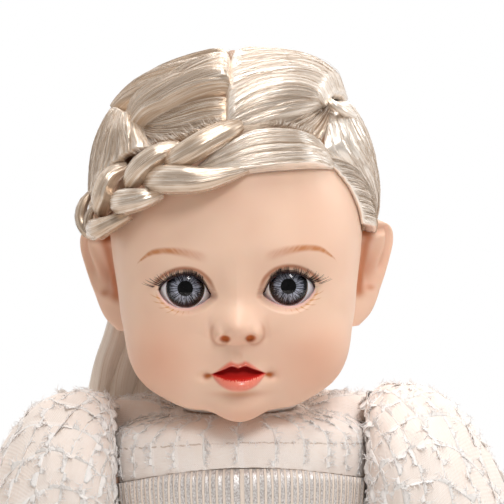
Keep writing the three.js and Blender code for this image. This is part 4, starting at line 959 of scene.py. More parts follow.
def combed(
    guides, rows, columns, rise, crown, tuck, locks, seed,
    tuck_from=0.8, roll=EDGE_ROLL, plugs=1.4, swell=0.0,
):
    """Hair combed along guides: its outer and inner grids, with rounded locks and tucked ends."""
    crowns = np.broadcast_to(crown, len(guides))
    lines = []
    for guide, high in zip(guides, crowns):
        seen_ahead = len(guide[0]) == 2
        lines.append(resampled(front_points(guide, high) if seen_ahead else guide, rows))
    stations = np.linspace(0, len(guides) - 1, columns)
    places = profile(list(enumerate(lines)), stations).swapaxes(0, 1)
    high = profile(list(enumerate(crowns)), stations)[None, :]
    u = np.linspace(0, 1, columns)[None, :]
    v = np.linspace(0, 1, rows)[:, None]
    rng = np.random.default_rng(seed)
    sway = profile([(i / locks, rng.uniform(-0.3, 0.3)) for i in range(locks + 1)], u)
    round_lock = np.abs(np.sin(np.pi * (u * locks + sway + 0.25 * np.sin(4 * v + 7 * u)))) ** 0.7
    ridge = 0.12 * np.sin(2 * np.pi * (u * locks * 6 + 0.4 * v) + 3 * np.sin(9 * u))
    body = (1 - swell) * ramp(v, 0, rise) + swell * ramp(v, 0, 0.75)
    lift = ROOT_LIFT + (high - LOCK_ALLOWANCE) * (body - tuck * ramp(v, tuck_from, 1))
    lift = lift + plugs * round_lock * ramp(v, 0, 0.12) + ridge
    first, last = np.broadcast_to(roll, 2)
    lift = 0.7 + (lift - 0.7) * np.minimum(ramp(u, -0.01, first), ramp(1 - u, -0.01, last)) ** 0.6
    rays = unit(places - HAIR_CORE)
    outer = along_rays(HAIR_CORE, rays, np.maximum(lift, 0.8))
    return outer, along_rays(HAIR_CORE, rays, np.maximum(lift - SHEET_DEPTH, 0.3))


def span(grid):
    """A grid's greatest width and length in millimetres."""
    wide = np.linalg.norm(np.diff(grid, axis=1), axis=-1).sum(1).max()
    return wide, np.linalg.norm(np.diff(grid, axis=0), axis=-1).sum(0).max()


def grid_uv(grid):
    """Millimetres across and along a grid, for its grain, the same on its two faces."""
    rows, columns = grid.shape[:2]
    wide, long = span(grid)
    u, v = np.meshgrid(np.linspace(0, wide, columns), np.linspace(0, long, rows))
    flat = np.stack((u.ravel(), v.ravel()), -1)
    return np.concatenate((flat, flat))


def lock_uv(grid):
    """Millimetres round and along a lock, mirrored so that its grain meets itself."""
    rows, columns = grid.shape[:2]
    girth = np.linalg.norm(np.diff(grid, axis=1), axis=-1).sum(1).max()
    long = span(grid)[1]
    from_seam = np.abs(np.linspace(-girth / 2, girth / 2, columns, endpoint=False))
    u, v = np.meshgrid(from_seam, np.linspace(0, long, rows))
    flat = np.stack((u.ravel(), v.ravel()), -1)
    return np.concatenate((flat, [flat[0], flat[-1]]))


def strands_over(grid, count, rng, off=(0.05, 0.45), sway=0.012, steps=10):
    """Single strands that lie over a grid from near its start to near its end."""
    u = rng.uniform(0.01, 0.99, (count, 1))
    first, last = rng.uniform(0.0, 0.1, (count, 1)), rng.uniform(0.85, 1.0, (count, 1))
    v = first + (last - first) * np.linspace(0, 1, steps)
    wander = sway * np.sin(rng.uniform(2, 7, (count, 1)) * v + rng.uniform(0, 6.3, (count, 1)))
    place = sampled(grid, u + wander, v)
    rise = rng.uniform(*off, (count, 1)) * np.sin(np.pi * np.clip(v, 0.04, 0.96)) ** 0.5
    return place + unit(place - HAIR_CORE) * rise[..., None], rng.uniform(0, 1, count)


def hair_finish(name, metallic):
    """Combed nylon: fine strands along V, broader streaks of tone, and relief to spread the shine."""
    material, paint, shader = new_finish(name, Specular_IOR_Level=0.6, Metallic=metallic)
    uv = paint.node("ShaderNodeUVMap", out="UV")
    fine = paint.noise(paint.stretched(uv, 3.2, 0.03, 0.0), 1.0, 3.0)
    streak = paint.noise(paint.stretched(uv, 0.8, 0.015, 0.0), 1.0, 2.0)
    # The tone field is each form's own tone, and on some forms painted light or shade.
    tone = (0.36 * fine + 0.36 * streak + 0.28 * paint.field("tone")).smooth(0.25, 0.75)
    dark = tone.mix(HAIR_LOW, HAIR_MIDDLE)
    combed_tone = tone.smooth(0.4, 1.0).mix(dark, HAIR_HIGH)
    # Tone -1 marks the under-cap, which takes a darker brown as painted shade between the locks.
    rooted = paint.field("tone").smooth(0.0, -1.0)
    rooted.mix(combed_tone, HAIR_UNDER_SHADE).into(shader, "Base Color")
    (0.2 + 0.1 * fine + 0.4 * rooted).into(shader, "Roughness")
    (fine + 0.6 * streak).bump(0.65, 0.0001).into(shader, "Normal")
    return material


nylon = hair_finish("combed_nylon", metallic=0.55)
nylon_strand = fibre_finish(
    "nylon_strand", shown_as(204, 180, 154), HAIR_HIGH, roughness=0.26, Metallic=0.4)


def hair_piece(name, slabs, locks, node, tones):
    """A piece of hair from combed slabs and rolled locks, each form with a tone of its own."""
    forms = [slab(outer, inner) for outer, inner in slabs] + [tube(grid) for grid in locks]
    uvs = [grid_uv(outer) for outer, _ in slabs] + [lock_uv(grid) for grid in locks]
    tone = np.concatenate([np.full(len(form[0]), tone) for form, tone in zip(forms, tones)])
    points, faces = joined(forms)
    piece = new_piece(name, points + (0, 0, CHIN_Z), faces, nylon, np.concatenate(uvs), tone=tone)
    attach(piece, "head")
    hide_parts(node)


def hair_strands(name, batches):
    """Fine strands over hair, from batches of paths and their tones."""
    paths = np.concatenate([batch[0] for batch in batches]) + (0, 0, CHIN_Z)
    tones = np.concatenate([batch[1] for batch in batches])
    piece = strand_piece(name, paths, tones, nylon_strand, STRAND_RADIUS, STRAND_TAPER)
    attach(piece, "head")


def mirrored(guides):
    """Guides of (x, y, z) points on the other side of the head."""
    return tuple(tuple((-x, y, z) for x, y, z in guide) for guide in guides)


# Rows of plugs, from the parting down each side. Each guide is (x, z) seen from ahead, or (x, y, z).
ROOTS_LEFT = (
    ((12, 103), (18, 104.8), (25, 107.5), (31, 110), (34.5, 111)),
    ((20, 102.7), (25, 104.5), (30, 107.8), (34.8, 110.7)),
    ((27, 100.5), (30.5, 103.5), (33.5, 107.5), (35.2, 110.3)),
    ((31.5, 96.5), (33.5, 101), (35, 106), (35.6, 110)),
)
SIDE_LEFT = (
    ((31, -20, 116), (35, -23, 110), (34.8, -25, 102), (34.4, -27.5, 96), (37.5, -24, 90),
     (42, -18.5, 84), (46, -11, 78), (48.4, -2, 71.5), (47.5, 11, 63.5), (44, 23, 54)),
    ((34, -15, 117), (38, -18, 110.5), (38.6, -20.5, 101.5), (39.5, -21, 95), (42.5, -17.5, 89),
     (46, -12.5, 83), (48.2, -5.5, 77.5), (48.8, 4, 70.5), (47, 16, 61), (43, 27, 50)),
    ((36, -9, 118), (40, -12, 111), (43, -13, 102), (45.4, -11, 94), (47.8, -6, 86),
     (49, 1, 78), (48.6, 10, 69), (46, 21, 57), (41, 30, 46)),
    ((37, 1, 118.5), (42, -2, 111), (45.4, -4, 104), (47.6, -3, 96), (49.4, 0, 88),
     (49.8, 5, 79), (48.6, 14, 67), (45, 25, 54), (39, 34, 43)),
    ((37, 11, 118), (42.5, 10, 110), (46, 10, 103), (49, 11, 95), (50, 13, 85),
     (50, 16, 76), (48, 22, 64), (44, 30, 52), (37, 38, 41)),
    ((33, 21, 117), (38, 22, 110), (43, 24, 100), (46, 26, 90), (46, 30, 78),
     (44, 34, 64), (40, 37, 50), (36, 40, 38)),
    ((19, 28, 121), (24, 32, 116), (32, 38, 102), (35, 42, 88), (35, 45, 74),
     (33, 46, 60), (29, 46, 46), (25, 46, 34)),
    ((6, 36, 119), (8, 40, 114), (16, 47, 100), (19, 52, 86), (20, 53, 72),
     (19, 52, 58), (17, 50, 44), (15, 48, 32)),
    ((0, 40, 117), (0, 44, 112), (0, 51, 98), (0, 55, 84), (0, 56, 70),
     (0, 54, 56), (0, 51, 42), (0, 48, 30)),
)
TEMPLE_LEFT = (
    ((34.4, -28, 93.5), (38, -24, 91), (42, -18.5, 86), (45.6, -11.5, 80), (48, -3, 73.5)),
    ((35.8, -26.5, 89.5), (39.2, -22, 87.4), (42.8, -16.5, 83), (46, -9.5, 77.4), (47.8, -1, 71.6)),
    ((37.6, -24, 86), (40.6, -19.6, 84.2), (43.8, -14, 80.2), (46.4, -7.4, 75.4), (47.6, 1, 70)),
    ((39.4, -21, 82.6), (42, -17, 81), (44.6, -11.6, 77.6), (46.6, -5.2, 73.4), (47.2, 3, 68.4)),
    ((41, -18, 79), (43.2, -14, 77.6), (45.2, -9, 74.8), (46.6, -3, 71.2), (46.8, 5, 66.6)),
    ((42.2, -15, 75), (44, -11, 73.8), (45.6, -6.4, 71.6), (46.4, -1, 68.8), (46.2, 7, 64.6)),
    ((43, -12, 71), (44.6, -8.4, 70), (45.6, -4, 68.4), (46, 1, 66.4), (45.6, 9, 62.4)),
    ((43.5, -9.5, 67), (44.8, -6, 66.2), (45.4, -2, 65.2), (45.6, 3, 63.6), (45, 11, 60)),
)
CROWN_BACK_LEFT = (
    ((0.6, 3, 129), (12, 6, 130), (24, 10, 127), (34, 14, 119), (42, 16, 108)),
    ((0.4, 14, 127), (11, 18, 127), (22, 22, 123), (32, 25, 114), (39, 26, 104)),
    ((0.2, 26, 123), (8, 30, 121), (16, 34, 115), (23, 38, 107), (28, 40, 98)),
    ((0.2, 38, 115), (4, 41, 112), (8, 45, 106), (12, 48, 98), (15, 50, 90)),
)
ROOTS_RIGHT = (
    ((0.3, 116), (-12, 115), (-22, 111.5), (-30, 108.5), (-35, 106)),
    ((0.3, 111.5), (-11, 110.5), (-20, 108), (-28, 106), (-34.8, 105)),
    ((0.3, 107.5), (-9, 107), (-17, 105.5), (-26, 104), (-34.5, 104.5)),
    ((-8, 104.6), (-14, 104.5), (-21, 103.2), (-28, 102.8), (-34.3, 104)),
    ((-17, 101), (-21, 102.2), (-26, 101.5), (-31, 102), (-34.3, 103.5)),
    ((-26, 98.8), (-28.5, 100), (-31, 100.8), (-34, 102.8)),
)
SIDE_RIGHT = (
    ((-35.5, -22, 107.5), (-33.5, -26, 104.5), (-31, -29, 101), (-28.8, -31, 98)),
    ((-37, -19, 109), (-35.8, -24, 104), (-34.5, -27, 98.5), (-33.5, -28, 95)),
    ((-38.5, -15, 110), (-38.7, -20, 104), (-39, -22, 97), (-39, -23, 91)),
    ((-39.5, -8, 111.5), (-42.5, -13, 104), (-44, -15, 96), (-45, -14, 86)),
    ((-40, -1, 112.5), (-46, -4, 104.5), (-48.5, -5, 97), (-50, -4, 88), (-51, -2, 78)),
    ((-39.5, 10.5, 114), (-47.5, 9, 103), (-51, 9, 93), (-52, 10, 82), (-51.5, 12, 68)),
) + mirrored(SIDE_LEFT[5:])
CROWN_BACK_RIGHT = mirrored(CROWN_BACK_LEFT)
CROWN_FRONT_RIGHT = (
    ((0.8, -22, 121), (-13, -20, 121), (-24, -15, 117), (-33, -8, 111.5), (-40, 0, 106)),
    ((1, -10, 126), (-12, -8, 126.5), (-24, -4, 122.5), (-34, 2, 116), (-41.5, 6, 108.5)),
    ((1.4, 4, 129), (-12, 7, 128.5), (-24, 10, 125), (-34, 13, 118), (-42, 15, 109)),
)
# The hairline from ear to ear, and where hair rooted there passes over the crown, the back and the nape
UNDER_RAYS = (
    ((44.5, -6, 64), (48, 15, 72), (38, 40, 60), (26, 44, 36)),
    ((42.6, -13, 74), (47, 13, 86), (38, 40, 70), (24, 45, 35)),
    ((39.5, -20, 83), (45, 12, 98), (37, 40, 78), (22, 46, 35)),
    ((34.5, -26, 92), (38, 10, 112), (33, 42, 84), (18, 47, 34)),
    ((21, -36, 97), (22, 8, 126), (20, 48, 92), (11, 48, 33)),
    ((6, -41, 98), (6, 6, 130), (5, 52, 95), (3, 49, 32)),
    ((-9, -40, 95), (-9, 6, 130), (-8, 51, 95), (-5, 49, 32)),
    ((-21, -36, 92), (-22, 8, 125), (-20, 48, 92), (-11, 48, 33)),
    ((-33, -28, 87), (-38, 10, 112), (-33, 42, 84), (-18, 47, 34)),
    ((-41.5, -18, 80), (-45, 12, 98), (-37, 40, 78), (-22, 46, 35)),
    ((-45.5, -9, 72), (-47, 13, 86), (-38, 40, 70), (-24, 45, 35)),
    ((-47, -4, 64), (-48, 15, 72), (-38, 40, 60), (-26, 44, 36)),
)
PARTING_RISE = 4.0

# The tone of each combed sheet of the cap, and how many single strands lie over it
# Some tones paint light and shade: -1 gives the under-cap its shade colour, 0.1 shades the sunk roots on the
# right,
# and 1.2 and 1.5 are painted light on the left side and the temple.
CAP_TONES_AND_LIGHT = (-1, 0.4, 0.4, 0.4, 0.3, 0.1, 1.2, 0.6, 1.5)
CAP_STRANDS = (300, 110, 110, 110, 90, 160, 420, 420, 160)


def under_cap():
    """The rooted hair that lies close to the scalp under the locks, from the hairline to the nape."""
    columns, rows = 110, 48
    lines = [resampled(line, rows) for line in UNDER_RAYS]
    places = profile(list(enumerate(lines)), np.linspace(0, len(lines) - 1, columns)).swapaxes(0, 1)
    rays = unit(places - HAIR_CORE)
    edge = np.minimum(np.linspace(0, 1, columns), np.linspace(1, 0, columns))
    lift = 0.6 + 0.9 * ramp(np.linspace(0, 1, rows)[:, None], 0, 0.08) * ramp(edge, -0.01, 0.03)
    x, y, _ = np.moveaxis(places, -1, 0)
    parting = PARTING_RISE * bell(x, 0, 2.6) * ramp(y, -28, -6) * ramp(-y, -30, -4)
    return along_rays(HAIR_CORE, rays, lift + parting), along_rays(HAIR_CORE, rays, 0.2)


rng = np.random.default_rng(5)
cap_slabs = [
    under_cap(),
    combed(
        CROWN_BACK_LEFT, rows=44, columns=80, rise=0.03, crown=9.0, tuck=0.3,
        locks=7, seed=1, swell=0.4),
    combed(
        CROWN_BACK_RIGHT, rows=44, columns=80, rise=0.03, crown=6.5, tuck=-1.2,
        locks=7, seed=2, tuck_from=0.2),
    combed(
        CROWN_FRONT_RIGHT, rows=44, columns=60, rise=0.09, crown=5.0, tuck=-2.6,
        locks=5, seed=3, tuck_from=0.2),
    combed(ROOTS_LEFT, rows=40, columns=60, rise=0.25, crown=4.4, tuck=0.2, locks=5, seed=4),
    combed(ROOTS_RIGHT, rows=44, columns=90, rise=0.09, crown=3.4, tuck=0.2, locks=7, seed=5, plugs=0.8),
    combed(
        SIDE_LEFT, rows=56, columns=200, rise=0.12, crown=7.8, tuck=0.6,
        locks=15, seed=6, tuck_from=0.1, roll=(0.2, 0.02)),
    combed(
        SIDE_RIGHT, rows=56, columns=200, rise=0.12, crown=9.4, tuck=0.3,
        locks=15, seed=7, tuck_from=0.4, roll=(0.16, 0.02)),
    combed(
        TEMPLE_LEFT, rows=36, columns=150, rise=0.35, crown=5.6, tuck=0.0,
        locks=24, seed=10, plugs=0.6, roll=0.02),
]
hair_piece("hair_cap_combed", cap_slabs, [], "hair_cap", CAP_TONES_AND_LIGHT)
hair_strands("hair_cap_strands", [
    strands_over(outer, count, rng) for (outer, _), count in zip(cap_slabs, CAP_STRANDS)
])

# Crown locks
# Two thick locks of the same nylon, rooted along the parting and drawn over the crown to either side.
# One is combed in a broad sweep with a small lock across its end, the other is rolled under.
CROWN_SWEPT_LEFT = (
    ((-1.8, 103.2), (9.7, 104.9), (18.6, 106.4), (26, 107.8), (33, 110.5)),
    ((-3.2, 107.3), (8, 111.5), (18, 113), (27, 113), (34.5, 111.8)),
    ((-3.4, 112.3), (7, 118), (17, 119), (27, 117.5), (35.5, 113)),
    ((-2.9, -29, 119), (8, -27, 124), (18, -23, 124.5), (28, -17, 121.5), (37, -10, 114.5)),
    ((-2, -12, 125), (9, -10, 129), (19, -7, 129), (29, -3, 125), (40, 1, 113)),
    ((-0.6, 3, 129.5), (10, 6, 131), (20, 8, 130), (30, 10, 125), (42, 9, 110.5)),
)
CROWN_HEIGHTS = (6, 8.5, 10.5, 12, 12, 11)
CROSSING = ((33, 113.4, 4), (36, 110.4, 8), (40, 107.6, 8.4), (45.5, 105.2, 6))
ROLLED_RIGHT = (
    ((0.8, 132), (-9, 130), (-19, 126.5), (-29, 121), (-37.5, 114), (-41, 108.4)),
    ((0.8, 129), (-10.5, 127), (-20.5, 123.2), (-29.8, 117.8), (-37.2, 111.6), (-40, 107.6)),
    ((0.8, 125.5), (-12, 123.6), (-22, 119.4), (-30.6, 114.6), (-36.8, 109.8), (-39, 106.8)),
    ((0.8, 121.6), (-13, 119.6), (-23.8, 115.2), (-31.4, 111.2), (-36.4, 107.8), (-38, 106)),
)


def over_front(path):
    """Points over the front of the bare head, from a path of (x, z, lift)."""
    x, z, lift = np.array(path, float).T
    return front_points(np.stack((x, z), -1), lift)


def lock(path, widths, thick):
    """A lock of hair as a ridged spindle along a path of points, as a grid of rings."""
    rows, columns = 40, 40
    line = resampled(path, rows)
    ahead = unit(np.gradient(line, axis=0))
    out = unit(line - HAIR_CORE)
    out = unit(out - (out * ahead).sum(-1, keepdims=True) * ahead)
    aside = np.cross(ahead, out)
    v = np.linspace(0, 1, rows)[:, None]
    turn = np.linspace(0, 2 * np.pi, columns, endpoint=False)[None, :]
    wide = profile(list(zip(np.linspace(0, 1, len(widths)), widths)), v) / 2
    deep = thick / 2 * (0.35 + 0.65 * np.sin(np.pi * np.clip(v, 0.03, 0.97)) ** 0.6)
    rough = 1 + 0.035 * np.sin(9 * turn + 2 * np.sin(3 * v)) + 0.02 * np.sin(17 * turn)
    c, s = np.cos(turn), np.sin(turn)
    c, s = np.sign(c) * np.abs(c) ** 0.85, np.sign(s) * np.abs(s) ** 0.85
    beside = (wide * c * rough)[..., None] * aside[:, None]
    return line[:, None] + beside + (deep * s * rough)[..., None] * out[:, None]


crown = combed(
    CROWN_SWEPT_LEFT, rows=48, columns=110, rise=0.05, crown=CROWN_HEIGHTS, tuck=0.35,
    locks=4, seed=8, tuck_from=0.85, plugs=1.0, swell=0.55)
crossing = lock(over_front(CROSSING), widths=(2, 3.4, 3.6, 2), thick=3)
hair_piece("crown_lock_left_combed", [crown], [crossing], "crown_lock_left", (0.9, 0.8))
rolled = combed(
    ROLLED_RIGHT, rows=44, columns=60, rise=0.06, crown=9.0, tuck=0.3,
    locks=1, seed=11, roll=0.12, plugs=2.0)
hair_piece("crown_lock_right_rolled", [rolled], [], "crown_lock_right", (0.6,))
hair_strands("crown_lock_strands", [
    strands_over(crown[0], 240, rng),
    strands_over(rolled[0], 110, rng),
    strands_over(crown[0], 7, rng, off=(0.8, 2.4), sway=0.08),
])

# Front braid
# Hair drawn across the forehead in a flat band and plaited down to the ear, from two rows of crossing lobes.
# Short hairs stand out of the plugs along the partings above it.
BAND = (
    ((36.5, 97), (29, 101.2), (17, 103.8), (6, 103.4), (-3, 98.6), (-13, 92)),
    ((38, 95), (30.5, 98), (19, 99.8), (7, 98.8), (-3, 95), (-13, 90.5)),
    ((38.8, 92.6), (32, 94.6), (20, 95.4), (7, 94.3), (-3, 91.5), (-13, 88.5)),
    ((39, 89.8), (32, 90.4), (20, 90.3), (7, 89.6), (-3, 88.2), (-13, 86)),
)

# Each lobe's path over the front of the head as (x, z, lift), and its widths along it
UPPER_LOBES = (
    (((4.5, 104.6, 0.6), (-2, 102.2, 4.8), (-8, 99.7, 7), (-14.7, 96.1, 8.5), (-20.1, 93, 7),
      (-23.6, 90.8, 3)),
     (2.5, 6.6, 8.6, 8.8, 8, 4)),
    (((-19, 97.4, 2.5), (-26.8, 94.3, 7), (-32.1, 90.7, 8.5), (-35.3, 86.7, 7), (-36.8, 82.8, 3)),
     (4, 7, 7.6, 7, 4)),
    (((-38, 90.2, 2.5), (-43.3, 87.2, 6), (-46, 83.2, 7.5), (-47.3, 78.3, 7), (-48, 73, 3.5)),
     (3.6, 6.6, 7.2, 6.6, 4)),
)
LOWER_LOBES = (
    (((6, 88.8, 0.6), (-1.5, 87.2, 3.6), (-10.3, 85.8, 6), (-19.2, 86.1, 7.5), (-26.8, 86, 6),
      (-31.4, 84.9, 2)),
     (2, 5, 8.4, 10.4, 9, 4)),
    (((-25.5, 80.8, 2), (-32.6, 79.2, 6), (-38.4, 78.2, 7), (-42.6, 76.8, 3.5)), (4, 8, 8.8, 4.5)),
    (((-37.2, 73.2, 2), (-43.7, 70.4, 6), (-48.2, 68.2, 7), (-52.2, 66.4, 4)), (3.5, 7.4, 7.6, 4)),
)

# The braid's end behind the ear: each lock's path, widths and thickness
TAIL = (
    (((-52.8, -1, 80), (-55.6, -2, 75.5), (-56.4, -3, 70.5), (-54.6, -5, 66), (-51.5, -7, 64)),
     (2.5, 4.2, 4.6, 4.2, 3), 4),
    (((-51.6, -8, 75), (-53.4, -9, 70.8), (-53.2, -10, 67), (-50.8, -12, 64)),
     (2, 3.4, 3.4, 3), 3.2),
)
UPPER_DEPTH = 8.0
LOWER_DEPTH = 8.4
PART_RIGHT = (
    (-3.6, 105.5), (-8, 104.6), (-12.5, 102.8), (-17, 101), (-21.4, 99.7), (-25.9, 98.8), (-30.4, 96.8),
    (-34.8, 94.5),
)
PART_LEFT = ((6, 104.4), (14.3, 104), (20, 103), (26, 101), (31, 98.4))
FLIP_STEPS = 7


def root_flips(line, count, way, rng):
    """Short hairs that stand out of the plugs along a parting and bend over."""
    along = rng.uniform(0, len(line) - 1, count)
    root = profile(list(enumerate(line)), along)[:, None]
    t = np.linspace(0, 1, FLIP_STEPS)[None, :, None]
    reach = rng.uniform(2.0, 4.6, (count, 1, 1))
    place = root + reach * (np.asarray(way) + rng.normal(0, 0.2, (count, 1, 2))) * (t - 0.25)
    lift = 1.0 + rng.uniform(3.4, 5.6, (count, 1)) * np.sin(np.pi * (0.08 + 0.72 * t[..., 0]))
    paths = front_points(place.reshape(-1, 2), lift.ravel()).reshape(count, FLIP_STEPS, 3)
    return paths, rng.uniform(0.4, 1, count)


band = combed(BAND, rows=44, columns=90, rise=0.3, crown=6.0, tuck=0.3, locks=3, seed=9, plugs=1.0)
lobes = [lock(over_front(path), widths, UPPER_DEPTH) for path, widths in UPPER_LOBES]
lobes += [lock(over_front(path), widths, LOWER_DEPTH) for path, widths in LOWER_LOBES]
lobes += [lock(*form) for form in TAIL]
# The flat band takes a tone past the lightest, as painted light; the lobes' tones differ at random.
braid_tones_and_light = np.append(1.3, rng.uniform(0.4, 0.8, len(lobes)))
hair_piece("front_braid_plaited", [band], lobes, "front_braid", braid_tones_and_light)
hair_strands("front_braid_strands", [
    strands_over(band[0], 160, rng, steps=7),
    *[strands_over(lobe, 50, rng, steps=7) for lobe in lobes],
    root_flips(PART_RIGHT, count=170, way=(-0.75, 0.7), rng=rng),
    root_flips(PART_LEFT, count=120, way=(0.5, 0.8), rng=rng),
])

# Loose back hair
# The rest of the nylon hangs behind the neck down to the dress, as one hank with three locks over its side.
# It is rooted in the head and lies on the trunk.
BACK_TOP = 44.0
BACK_LENGTH = 106.0
BACK_MIDDLE = -13.0
BACK_HALF = ((0, 25), (0.12, 31), (0.3, 38), (0.4, 38.5), (0.6, 36), (1, 28))
BACK_Y = ((0, 45), (0.14, 49.5), (0.3, 51), (0.6, 46), (1, 44))
BACK_DEPTH = 7.0
BACK_STRAND_RADIUS = 0.08

# How sharply the hank bends round the neck at its top and lower down, and the fuller side's share of it
BEND_TOP = 0.0115
BEND_LOW = 0.0045
FULL_SIDE = 0.3


def back_grid(inside):
    """The loose hank behind the neck, at a depth inside it, with waves and uneven tips."""
    v = np.linspace(0, 1, 60)[:, None]
    u = np.linspace(-1, 1, 140)[None, :]
    x = BACK_MIDDLE + profile(BACK_HALF, v) * u
    bend = BEND_TOP + (BEND_LOW - BEND_TOP) * ramp(v, 0.26, 0.42)
    bend = bend * np.where(x > BACK_MIDDLE, FULL_SIDE, 1.0)
    wave = 1.5 * np.sin(5 * np.pi * (u + 1) / 2) * v + 0.5 * np.sin(31 * u + 3 * v) * ramp(v, 0, 0.3)
    y = profile(BACK_Y, v) - bend * (x - BACK_MIDDLE) ** 2 + wave - inside
    tips = 6 * np.sin(9 * u + 1) * np.sin(4 * u) * ramp(v, 0.7, 1)
    return np.stack(np.broadcast_arrays(x, y, BACK_TOP - BACK_LENGTH * v + tips), -1)


LOOSE_LOCKS = (
    (((-37, 30, 50), (-43, 31, 36), (-47, 32, 22), (-51.5, 34, 9), (-55, 38, -6), (-55, 44, -22)),
     (6, 9, 11, 12, 12, 7), 8),
    (((-31, 36, 48), (-36, 36, 32), (-41, 36, 16), (-45, 37, 2), (-48, 41, -14)),
     (7, 11, 12, 12, 8), 8),
    (((-25, 41, 46), (-29, 41, 30), (-34, 41, 14), (-38, 42, 0), (-40, 45, -14)),
     (7, 11, 12, 12, 8), 8),
)
hank = back_grid(0.0)
loose = [lock(*form) for form in LOOSE_LOCKS]
points, faces = joined([slab(hank, back_grid(BACK_DEPTH))] + [tube(grid) for grid in loose])
uv = np.concatenate([grid_uv(hank)] + [lock_uv(grid) for grid in loose])
loose_nylon = hair_finish("loose_nylon", metallic=0.0)
# The whole hank takes the lightest tone, as painted light where it hangs in the shade of the head.
tone = np.ones(len(points))
back_hair = new_piece("back_hair_combed", points + (0, 0, CHIN_Z), faces, loose_nylon, uv, tone=tone)
paths, tones = strands_over(hank, 700, rng, off=(0.1, 1.2), sway=0.03)
paths = paths + (0, 0, CHIN_Z)
back_strands = strand_piece(
    "back_hair_strands", paths, tones, nylon_strand, BACK_STRAND_RADIUS, STRAND_TAPER)
for piece in (back_hair, back_strands):
    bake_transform(piece)
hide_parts("back_hair")

# Dress yoke
# Loosely woven cream cotton, shaped round the shoulders and sewn to the bodice in a curved seam.
# Torn tabs and frayed threads stand along the lines of its weave.
YOKE_TOP = 329.0
YOKE_HALF = (46.7, 32.6)
YOKE_RINGS = (
    (0, (1, 1)), (0.4, (1.02, 0.97)), (0.66, (0.99, 0.9)), (0.85, (0.84, 0.78)), (0.94, (0.62, 0.66)),
    (1, (0.42, 0.55)),
)
YOKE_CELLS = 28
YOKE_ROW = 0.5
YOKE_THICKNESS = 1.6
SEAM_MIDDLE_Z = 311.4
SEAM_DROP = 8.0
SHOULDER_LINE = 332.0
OVAL_POWER = 2.3
CELL_WIDE = 11.2
CELL_TALL = 7.6
TAB_THICKNESS = 0.22
FRAY_LENGTH = (1.0, 2.9)
FRAY_STAND = (0.0, 1.0)
THREAD_RADIUS = 0.12
THREAD_TAPER = 0.35


def oval(half, depth, turn, power):
    """A squarish oval: its x and y at a turn, from its half width and half depth."""
    c, s = np.cos(turn), np.sin(turn)
    return half * np.sign(c) * np.abs(c) ** (2 / power), depth * np.sign(s) * np.abs(s) ** (2 / power)


def normals(grid, around):
    """Directions out of a grid's outer face."""
    beside = np.roll(grid, -1, 1) - np.roll(grid, 1, 1) if around else np.gradient(grid, axis=1)
    out = unit(np.cross(beside, np.gradient(grid, axis=0)) + 1e-9)
    return out if ((grid - grid.mean((0, 1))) * out).sum() > 0 else -out


def cloth_piece(name, grid, thickness, material, around, node, uv=None):
    """Cloth of a thickness under a grid, with its millimetres as its UV unless one is given."""
    inner = grid - thickness * normals(grid, around)
    points, faces = slab(grid, inner, around)
    piece = new_piece(name, points, faces, material, grid_uv(grid) if uv is None else uv)
    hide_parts(node)
    return piece


def cell_uv(across, along):
    """A UV from counts of cells across and along, which puts the cloth's lines at the whole numbers."""
    across, along = np.broadcast_arrays(across, along)
    flat = np.stack(((across.ravel() + 0.5) * CELL_WIDE, (along.ravel() + 0.5) * CELL_TALL), -1)
    return np.concatenate((flat, flat))


def puffed(across, along):
    """How far the cloth swells between its lines, from 0 on a line to 1 inside a cell."""
    return (np.abs(np.sin(np.pi * across)) * np.abs(np.sin(np.pi * along))) ** 0.8


def cotton_finish(name, crease_shade, low, high):
    """Plain cream weave, with a grid of frayed lines where its floating threads were clipped, and painted
    shade in the creases along its rows.
    """
    fixed = {"Sheen_Weight": 0.25, "Sheen_Roughness": 0.5, "Specular_IOR_Level": 0.2}
    material, paint, shader = new_finish(name, **fixed)
    uv = paint.node("ShaderNodeUVMap", out="UV")
    u, v = (paint.node("ShaderNodeSeparateXYZ", {0: uv}, axis) for axis in "XY")
    weave = paint.math("SINE", u * 9.0) * paint.math("SINE", v * 9.0)
    slub = paint.noise(paint.stretched(uv, 0.3, 2.2, 0.0), 1.0, 3.0)
    wobble = paint.noise(uv, 0.35, 2.0) - 0.5
    row = abs(paint.math("FRACT", (v + 0.9 * wobble) / CELL_TALL) - 0.5) * CELL_TALL
    column = abs(paint.math("FRACT", (u + 0.9 * wobble) / CELL_WIDE) - 0.5) * CELL_WIDE
    crease = row.smooth(0.3, 0.05) * paint.noise(uv, 0.4).smooth(0.38, 0.56)
    frayed = column.smooth(1.0, 0.2)
    tone = 0.15 * weave + 0.45 * slub + 0.5 * paint.noise(uv, 0.12, 3.0) + 0.3 * frayed
    cream = tone.smooth(0.2, 0.75).mix(low, high)
    # Painted shade: a warm brown in the creases along the rows.
    (crease_shade * crease).mix(cream, shown_as(184, 156, 136)).into(shader, "Base Color")
    (0.8 + 0.15 * slub).into(shader, "Roughness")
    (0.3 * weave + slub + 0.6 * frayed - 1.2 * crease).bump(0.6, 0.00025).into(shader, "Normal")
    return material


cotton = cotton_finish(
    "cream_cotton", crease_shade=0.6, low=shown_as(250, 238, 229), high=shown_as(255, 248, 243))
torn_cotton = cotton_finish(
    "cream_cotton_torn", crease_shade=0.0, low=shown_as(255, 251, 248), high=shown_as(255, 255, 254))
thread = fibre_finish(
    "cream_thread", shown_as(254, 248, 246), shown_as(255, 255, 255),
    roughness=0.85, Sheen_Weight=1.0, Sheen_Roughness=0.35)


def at_lengths(field, at, size):
    """A line's places or directions at lengths along it."""
    return np.stack([np.interp(at, size, axis) for axis in field.T], -1)


